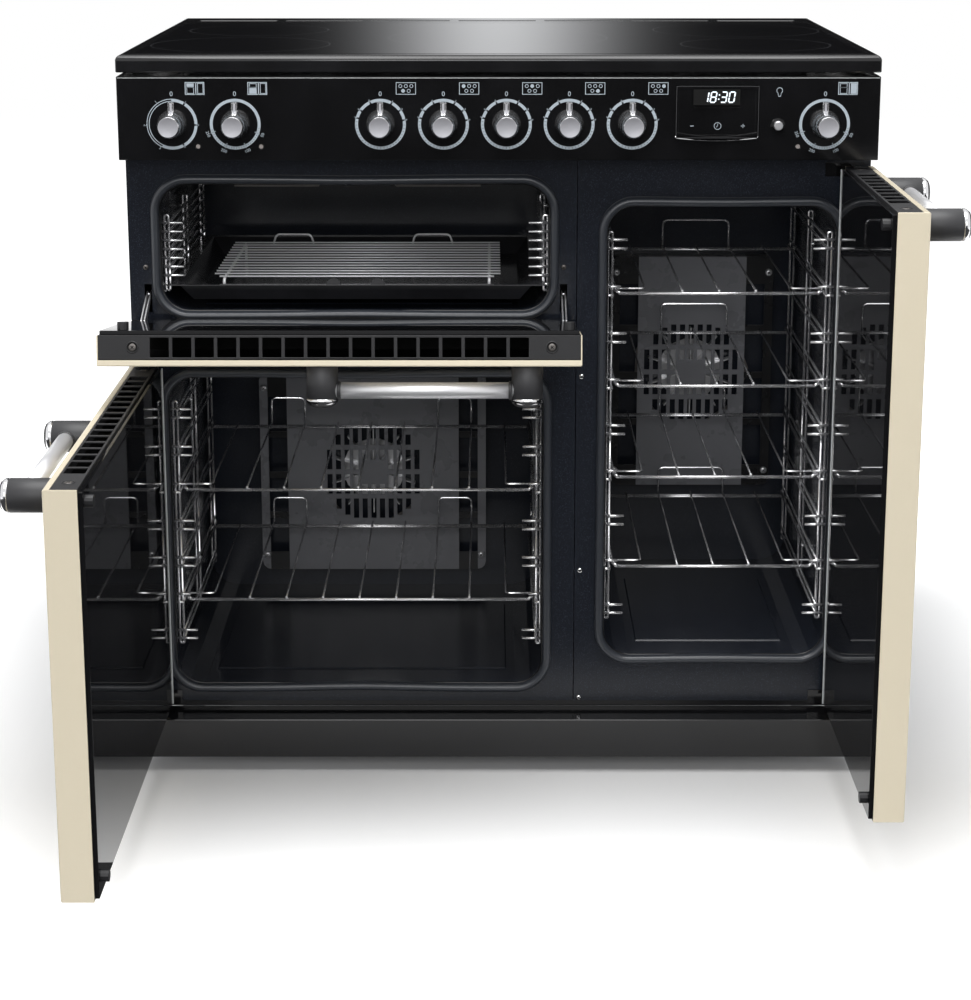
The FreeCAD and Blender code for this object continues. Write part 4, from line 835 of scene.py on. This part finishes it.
def sealRing(name, waves):
    x0, x1, z0, z1 = mouths[name]
    look = {"wide": 0.0108, "high": 0.0092, "gap": 0.0056, "corner": 0.034, "steps": 14}
    centreLine = []
    grow, radius = look["gap"], look["corner"] + look["gap"]
    inner = radius - grow
    corners = ((x1 - inner, z1 - inner, 0), (x0 + inner, z1 - inner, 90),
               (x0 + inner, z0 + inner, 180), (x1 - inner, z0 + inner, 270))
    for cx, cz, start in corners:
        for step in range(look["steps"] + 1):
            a = math.radians(start + 90 * step / look["steps"])
            out = (math.cos(a), math.sin(a))
            centreLine.append(((cx + radius * out[0], cz + radius * out[1]), out))
    full = []
    for (here, out), (there, _) in zip(centreLine, centreLine[1:] + centreLine[:1]):
        full.append((here, out))
        length = math.dist(here, there)
        extra = int(length / 0.02)
        for n in range(1, extra):
            t = n / extra
            full.append(((here[0] + (there[0] - here[0]) * t, here[1] + (there[1] - here[1]) * t), out))
    section = [(-0.5, 0.0), (-0.5, 0.30), (-0.47, 0.52), (-0.38, 0.75), (-0.22, 0.93), (0.0, 1.0),
               (0.22, 0.93), (0.38, 0.75), (0.47, 0.52), (0.5, 0.30), (0.5, 0.0)]
    middle = (x0 + x1) / 2
    rings = []
    for (x, z), out in full:
        push = 0.0
        if abs(out[1]) > 0.99:  # the soft waves at the middle of the top and bottom runs
            push = waves * math.exp(-((x - middle) / 0.09) ** 2)
        rings.append([(x + out[0] * (u * look["wide"] + push), place["plane"] - v * look["high"],
                       z + out[1] * (u * look["wide"] + push)) for u, v in section])
    build = Build()
    build.tube([(x - out[0] * look["gap"], place["plane"] - 0.0003, z - out[1] * look["gap"])
                for (x, z), out in full], 0.0013, "gloss", 8, closed=True)
    count = len(section)
    for low, high in zip(rings, rings[1:] + rings[:1]):
        build.add(low + high, [(n, n + 1, count + n + 1, count + n) for n in range(count - 1)], "seal")
    build.finish(name + "SealBead", "body", smooth=60, slot="seal_rubber", replaces=(name + "_seal",))


sealRing("grill", -0.0015)
sealRing("main", -0.0025)
sealRing("tall", -0.0015)
print("seals made")


# the racks, shelves and trivet are drawn as round wire, each path with its corners rounded
def bend(points, radius, steps=5):
    points = [Vector(p) for p in points]
    path = [points[0]]
    for before, corner, after in zip(points, points[1:], points[2:]):
        back, ahead = before - corner, after - corner
        cut = min(radius, back.length * 0.49, ahead.length * 0.49)
        start, end = corner + back.normalized() * cut, corner + ahead.normalized() * cut
        for step in range(steps + 1):
            t = step / steps
            path.append(start * (1 - t) ** 2 + corner * (2 * t * (1 - t)) + end * t ** 2)
    return path + [points[-1]]


def sideRacks(name, levels, spread, used):
    # used: the levels that hold a shelf or the pan, where the short wires leave it room
    x0, x1 = mouths[name][:2]
    look = {"inset": 0.0080, "front": 0.0190, "rear": 0.3590, "wire": 0.0018, "upright": 0.0015,
            "tail": 0.0085, "posts": (0.0245, 0.1900, 0.3550), "stud": 0.0024,
            "reach": {"under": 0.0095, "over": 0.0180, "free": 0.0255}}
    build = Build()
    low, high = levels[0] - spread - look["tail"], levels[-1] + spread + look["tail"]
    middle, half = (low + high) / 2, (levels[1] - levels[0]) / 2
    for side, wall in ((1, x0), (-1, x1)):
        x = wall + side * look["inset"]
        for index, level in enumerate(levels):
            for offset in ((-spread, spread) if spread else (0.0,)):
                z = level + offset
                kind = "free" if index not in used else ("under" if offset <= 0 else "over")
                build.tube([(x, look["front"], z), (x, look["rear"], z)], look["wire"], "wire", 8)
                build.tube([(wall - side * 0.0020, look["front"], z),
                            (wall + side * look["reach"][kind], look["front"], z)], look["wire"], "wire", 8)
        for y in look["posts"]:
            near, far = x - side * 0.0006, x - side * 0.0058
            loop = [(near, y, middle), (near, y, high), (far, y, high), (far, y, low), (near, y, low),
                    (near, y, middle - 0.0001)]
            build.tube(bend(loop, 0.0024), look["upright"], "wire", 8)
        for z in (levels[0] + half, levels[-1] - half):
            build.tube([(wall - side * 0.0036, look["posts"][1], z), (x - side * 0.0040, look["posts"][1], z)],
                       look["stud"], "wire", 8)
    build.finish(name + "RackWires", "body", slot="chrome_steel", replaces=(name + "_side_racks",))


def shelfWires(name, node, level, bars, inset, loops):
    x0, x1 = mouths[name][0] + 0.0118, mouths[name][1] - 0.0118
    y0, y1 = 0.0250, 0.3470
    look = {"rail": 0.0021, "runner": 0.0021, "bar": 0.0013, "cross": 0.0017, "loop": 0.0014, "stop": 0.0350}
    railAt, barAt, crossAt = level - 0.0040, level - 0.0006, level - 0.0036
    build = Build()
    for x, way in ((x0, 1), (x1, -1)):
        build.tube(bend([(x, y1, level), (x, y0 + 0.0060, level), (x + way * 0.0060, y0, railAt)], 0.0050),
                   look["runner"], "wire")
    build.tube([(x0 + 0.0056, y0, railAt), (x1 - 0.0056, y0, railAt)], look["rail"], "wire", 12)
    build.tube([(x0, y1 - 0.0060, railAt), (x1, y1 - 0.0060, railAt)], look["cross"], "wire")
    build.tube([(x0, y1 - 0.0140, crossAt), (x1, y1 - 0.0140, crossAt)], look["cross"], "wire")
    pitch = (x1 - x0 - 2 * inset) / (bars - 1)
    spots = [x0 + inset + pitch * index for index in range(bars)]
    for index, x in enumerate(spots):
        if index in (0, bars - 1):  # the outer bars turn aside to the runners
            aside = x0 if index == 0 else x1
            path = bend([(aside, y0 + 0.0150, barAt), (x, y0 + 0.0150, barAt), (x, y1, barAt)], 0.0060)
        else:
            path = [(x, y0 - 0.0012, barAt), (x, y1, barAt)]
            # a weld spot at the bar's front end, in a near-white finish: real weld with a painted glint
            build.lathe((x, y0 - 0.0010, barAt), (0, -1, 0), [
                (0.0, look["bar"] + 0.0003, "weld"), (0.0006, look["bar"] + 0.0002, "weld"),
                (0.0012, look["bar"] * 0.7, "weld"), (0.0015, look["bar"] * 0.2, "weld")], 12)
        build.tube(path, look["bar"], "wire", 8)
    for first, last in loops:
        left, right, top = spots[first], spots[last], level + look["stop"]
        stop = [(left, y1, railAt), (left, y1, top), (right, y1, top), (right, y1, railAt)]
        build.tube(bend(stop, 0.0080), look["loop"], "wire", 8)
    build.finish(node + "Wires", node, slot="chrome_steel", replaces=(node,))


def trivetWires():
    look = {"x": (-0.3510, 0.0030), "first": 0.0251, "pitch": 0.0185, "count": 14, "z": 0.62755, "bar": 0.0011,
            "side": 0.0019, "foot": 0.6024, "loops": (-0.2960, -0.1100), "loop": (0.0460, 0.0105)}
    (x0, x1), z = look["x"], look["z"]
    last = look["first"] + look["pitch"] * (look["count"] - 1)
    build = Build()
    for index in range(look["count"]):
        y, inset = look["first"] + look["pitch"] * index, 0.0 if index else 0.0080
        build.tube([(x0 + inset, y, z), (x1 - inset, y, z)], look["bar"], "trivetPaintedSheen", 8)
    under = z - look["bar"] - look["side"]
    for x in (x0 + 0.0140, x1 - 0.0140):
        near, far = look["first"] - 0.003, last + 0.003
        leg = [(x, near, look["foot"]), (x, near, under), (x, far, under), (x, far, look["foot"])]
        build.tube(bend(leg, 0.0040), look["side"], "trivetPaintedSheen")
    wide, tall = look["loop"]
    y = last + 0.0038
    for x in look["loops"]:
        build.tube(bend([(x - 0.004, y, z - 0.0020), (x, y, z + tall), (x + wide, y, z + tall),
                         (x + wide + 0.004, y, z - 0.0020)], 0.0050), 0.0014, "trivetPaintedSheen", 8)
    build.finish("trivetWires", "grill_trivet", slot="chrome_steel", replaces=("grill_trivet",))


sideRacks("grill", [0.6190 + 0.0109 * n for n in range(8)], 0.0, (0,))
sideRacks("main", [0.1646 + 0.0484 * n for n in range(7)], 0.0055, (1, 4))
sideRacks("tall", [0.1985 + 0.0588 * n for n in range(9)], 0.0055, (1, 3, 5, 7))
for index, step in enumerate((1, 4), 1):
    shelfWires("main", f"main_shelf_{index}", 0.1646 + 0.0484 * step, 9, 0.0340, ((1, 2), (6, 7)))
for index, step in enumerate((1, 3, 5, 7), 1):
    shelfWires("tall", f"tall_shelf_{index}", 0.1985 + 0.0588 * step, 5, 0.0370, ((1, 3),))
trivetWires()
print("wire work made")


def bodyScrews():
    look = {"frame": ((-0.4300, 0.6430), (0.0800, 0.6430)),
            "seam": ((0.1030, 0.506), (0.1030, 0.255), (0.1030, 0.085)),
            "coverFront": 0.3768, "covers": ((-0.176, 0.277, 0.1532, 0.123), (0.2725, 0.423, 0.1062, 0.143)),
            "grillRear": ((-0.2090, 0.4015, 0.6900), (-0.1390, 0.4015, 0.6900))}
    build, plane = Build(), place["plane"]
    for x, z in look["frame"]:
        build.screw((x, plane, z), (0, -1, 0), 0.0032, "element")
    for x, z in look["seam"]:
        build.screw((x, plane, z), (0, -1, 0), 0.0034, "chrome")
    for cx, cz, aside, above in look["covers"]:
        for dx in (-aside, aside):
            for dz in (-above, above):
                build.screw((cx + dx, look["coverFront"], cz + dz), (0, -1, 0), 0.0048, "fan")
    for spot in look["grillRear"]:
        build.screw(spot, (0, -1, 0), 0.0060, "fan", False)
    build.finish("frameScrews", "body")


def railScrews(door, places, top):
    # each stands in a shallow ring at an end of the door's top rail; the ring's inside is deep black, painted
    # shade in its recess
    depth = front + 0.0215
    build = Build()
    for x in places:
        build.lathe((x, depth, top), (0, 0, 1), [
            (-0.0002, 0.0072, "plastic"), (0.0003, 0.0070, "plastic"), (0.0003, 0.0058, "dark"),
            (0.0000, 0.0054, "dark")], 32)
        build.screw((x, depth, top), (0, 0, 1), 0.0042, "element", True, True)
    build.finish(door + "Screws", door, turn=doorTurn[door])


def glassEdgeHighlight(door, x0, x1, top):
    # a light grey strip on the hinge side of a side door's inner glass: painted highlight on its edge
    build = Build()
    build.box((x0, -0.0072, 0.0845), (x1, -0.0058, top), "edge")
    build.finish(door + "GlassEdgeHighlightStrip", door, turn=doorTurn[door], smooth=None)


bodyScrews()
railScrews("grill_door", (-0.4090, 0.0594), 0.769)
railScrews("main_door", (-0.4215, 0.0665), 0.5235)
railScrews("tall_door", (0.1255, 0.4215), 0.769)
glassEdgeHighlight("main_door", -0.4430, -0.4415, 0.5205)
glassEdgeHighlight("tall_door", 0.4415, 0.4430, 0.7660)
print("fixings made")


def whiteForCamera(finish):
    path = {key: finish.node("ShaderNodeLightPath", output=key)
            for key in ("Is Camera Ray", "Is Glossy Ray", "Is Transmission Ray")}
    seen = path["Is Camera Ray"] + path["Is Glossy Ray"] + path["Is Transmission Ray"]
    return finish.node("ShaderNodeMath", {"operation": "MINIMUM"}, {0: seen, 1: 1.0})


def linked(name, data):
    obj = bpy.data.objects.new(name, data)
    bpy.context.scene.collection.objects.link(obj)
    return obj


def sheetMesh(name, verts, faces):
    mesh = bpy.data.meshes.new(name)
    mesh.from_pydata(verts, [], faces)
    return linked(name, mesh)


def floor():
    # the glow that makes the floor white fades under the cooker, so that its real shadow stays, and the fade
    # paints a soft shadow around the footprint
    look = {"size": 14.0, "tone": rgb(0.80, 0.80, 0.80), "glow": 0.02, "far": 0.90, "out": 0.60,
            "half": (0.45, 0.29), "middle": 0.25}
    half = look["size"] / 2
    corners = [(-half, -half, 0), (half, -half, 0), (half, half, 0), (-half, half, 0)]
    obj = sheetMesh("studioFloor", corners, [(0, 1, 2, 3)])
    finish = Finish("studioFloor")
    seen = whiteForCamera(finish)
    paint = finish.node("ShaderNodeBsdfDiffuse", None, {"Color": look["tone"]})
    pastPaintedShadow = []
    for letter, middle, reach in (("X", 0.0, look["half"][0]), ("Y", look["middle"], look["half"][1])):
        aside = finish.absolute(finish.axis(letter) - middle) - reach
        pastPaintedShadow.append(finish.node("ShaderNodeMath", {"operation": "MAXIMUM"}, {0: aside, 1: 0.0}))
    away = (pastPaintedShadow[0] * pastPaintedShadow[0] + pastPaintedShadow[1] * pastPaintedShadow[1]) ** 0.5
    # low glow near the footprint, full glow 0.6 m out: painted shadow over the real one
    strength = finish.soft(away, 0.0, look["out"]) * look["far"] + look["glow"]
    glow = finish.node("ShaderNodeEmission", None, {"Color": rgb(1, 1, 1), "Strength": seen * strength})
    both = finish.node("ShaderNodeAddShader", None, {0: paint, 1: glow})
    ended(finish.tree, both, "ShaderNodeOutputMaterial")
    obj.data.materials.append(finish.owner)


def studioWorld():
    world = bpy.data.worlds.new("studio")
    bpy.context.scene.world = world
    finish = Finish("studio", world)
    seen = whiteForCamera(finish)
    light = finish.node("ShaderNodeBackground", None, {"Color": rgb(0.97, 0.98, 1.0), "Strength": 0.30})
    white = finish.node("ShaderNodeBackground", None, {"Color": rgb(1, 1, 1), "Strength": 1.0})
    both = finish.node("ShaderNodeMixShader", None, {0: seen, 1: light, 2: white})
    ended(finish.tree, both, "ShaderNodeOutputWorld")


def lamp(name, spot, target, size, power):
    # a rectangular softbox at a spot, turned to its target
    light = bpy.data.lights.new(name, "AREA")
    light.shape, light.size, light.size_y, light.energy = "RECTANGLE", size[0], size[1], power
    obj = linked(name, light)
    obj.location = spot
    obj.rotation_mode = "QUATERNION"
    obj.rotation_quaternion = (Vector(target) - Vector(spot)).to_track_quat("-Z", "Y")


def glossFlag(name, verts, faces, brightness):
    # a studio card that only gloss sees, with its own soft gradient
    obj = sheetMesh(name, verts, faces)
    finish = Finish(name)
    inputs = {"Color": rgb(0.97, 0.98, 1.0), "Strength": brightness(finish)}
    glow = finish.node("ShaderNodeEmission", None, inputs)
    ended(finish.tree, glow, "ShaderNodeOutputMaterial")
    obj.data.materials.append(finish.owner)
    obj.visible_camera = obj.visible_diffuse = obj.visible_shadow = obj.visible_transmission = False


def hobFlag():
    # behind the hob: dark, with the bright slit that the glass shows
    look = {"y": 1.7, "half": 3.2, "low": 0.90, "high": 1.62, "slit": 0.135, "bright": 0.85, "dark": 0.008}

    def slit(finish):
        across = (finish.axis("X") - 0.005) / look["slit"]
        return math.e ** (across * across * -0.5) * look["bright"] + look["dark"]

    y, half, low, high = look["y"], look["half"], look["low"], look["high"]
    corners = [(-half, y, low), (half, y, low), (half, y, high), (-half, y, high)]
    glossFlag("hobFlag", corners, [(0, 1, 2, 3)], slit)


def roomFlag():
    # the dark studio behind the camera: its floor, and a wall with one long bright window at eye height
    look = {"half": 2.6, "near": -0.30, "far": -4.4, "top": 2.5, "dark": 0.06, "bright": 1.5,
            "window": (1.25, 0.22, 1.40), "upper": (1.45, 2.1)}

    def room(finish):
        height, spread, strength = look["window"]
        across = (finish.axis("Z") - height) / spread
        window = math.e ** (across * across * -0.5) * strength
        upper = finish.soft(finish.axis("Z"), *look["upper"])
        return window + upper * look["bright"] + look["dark"]

    half, near, far, top, low = look["half"], look["near"], look["far"], look["top"], 0.004
    corners = [(-half, near, low), (half, near, low), (half, far, low), (-half, far, low),
               (half, far, top), (-half, far, top)]
    glossFlag("roomFlag", corners, [(0, 1, 2, 3), (3, 2, 4, 5)], room)


def camera():
    view = {"spot": (-0.0095, -2.6296, 1.1342), "pitch": 12.73, "lens": 78.95, "shift": (-0.0049, -0.15)}
    data = bpy.data.cameras.new("camera")
    data.sensor_width, data.lens = 36.0, view["lens"]
    data.shift_x, data.shift_y = view["shift"]
    obj = linked("camera", data)
    obj.location = view["spot"]
    obj.rotation_euler = (math.radians(90 - view["pitch"]), 0, 0)
    bpy.context.scene.camera = obj


floor()
studioWorld()
hobFlag()
roomFlag()
lamp("topSoftbox", (0.0, -0.6, 2.9), (0.0, -0.1, 0.4), (2.6, 2.0), 92)
lamp("frontSoftbox", (-0.3, -3.4, 1.9), (0.0, 0.0, 0.45), (1.8, 1.2), 26)
camera()
bpy.context.scene.view_settings.view_transform = "Standard"
print("room, lamps and camera set")
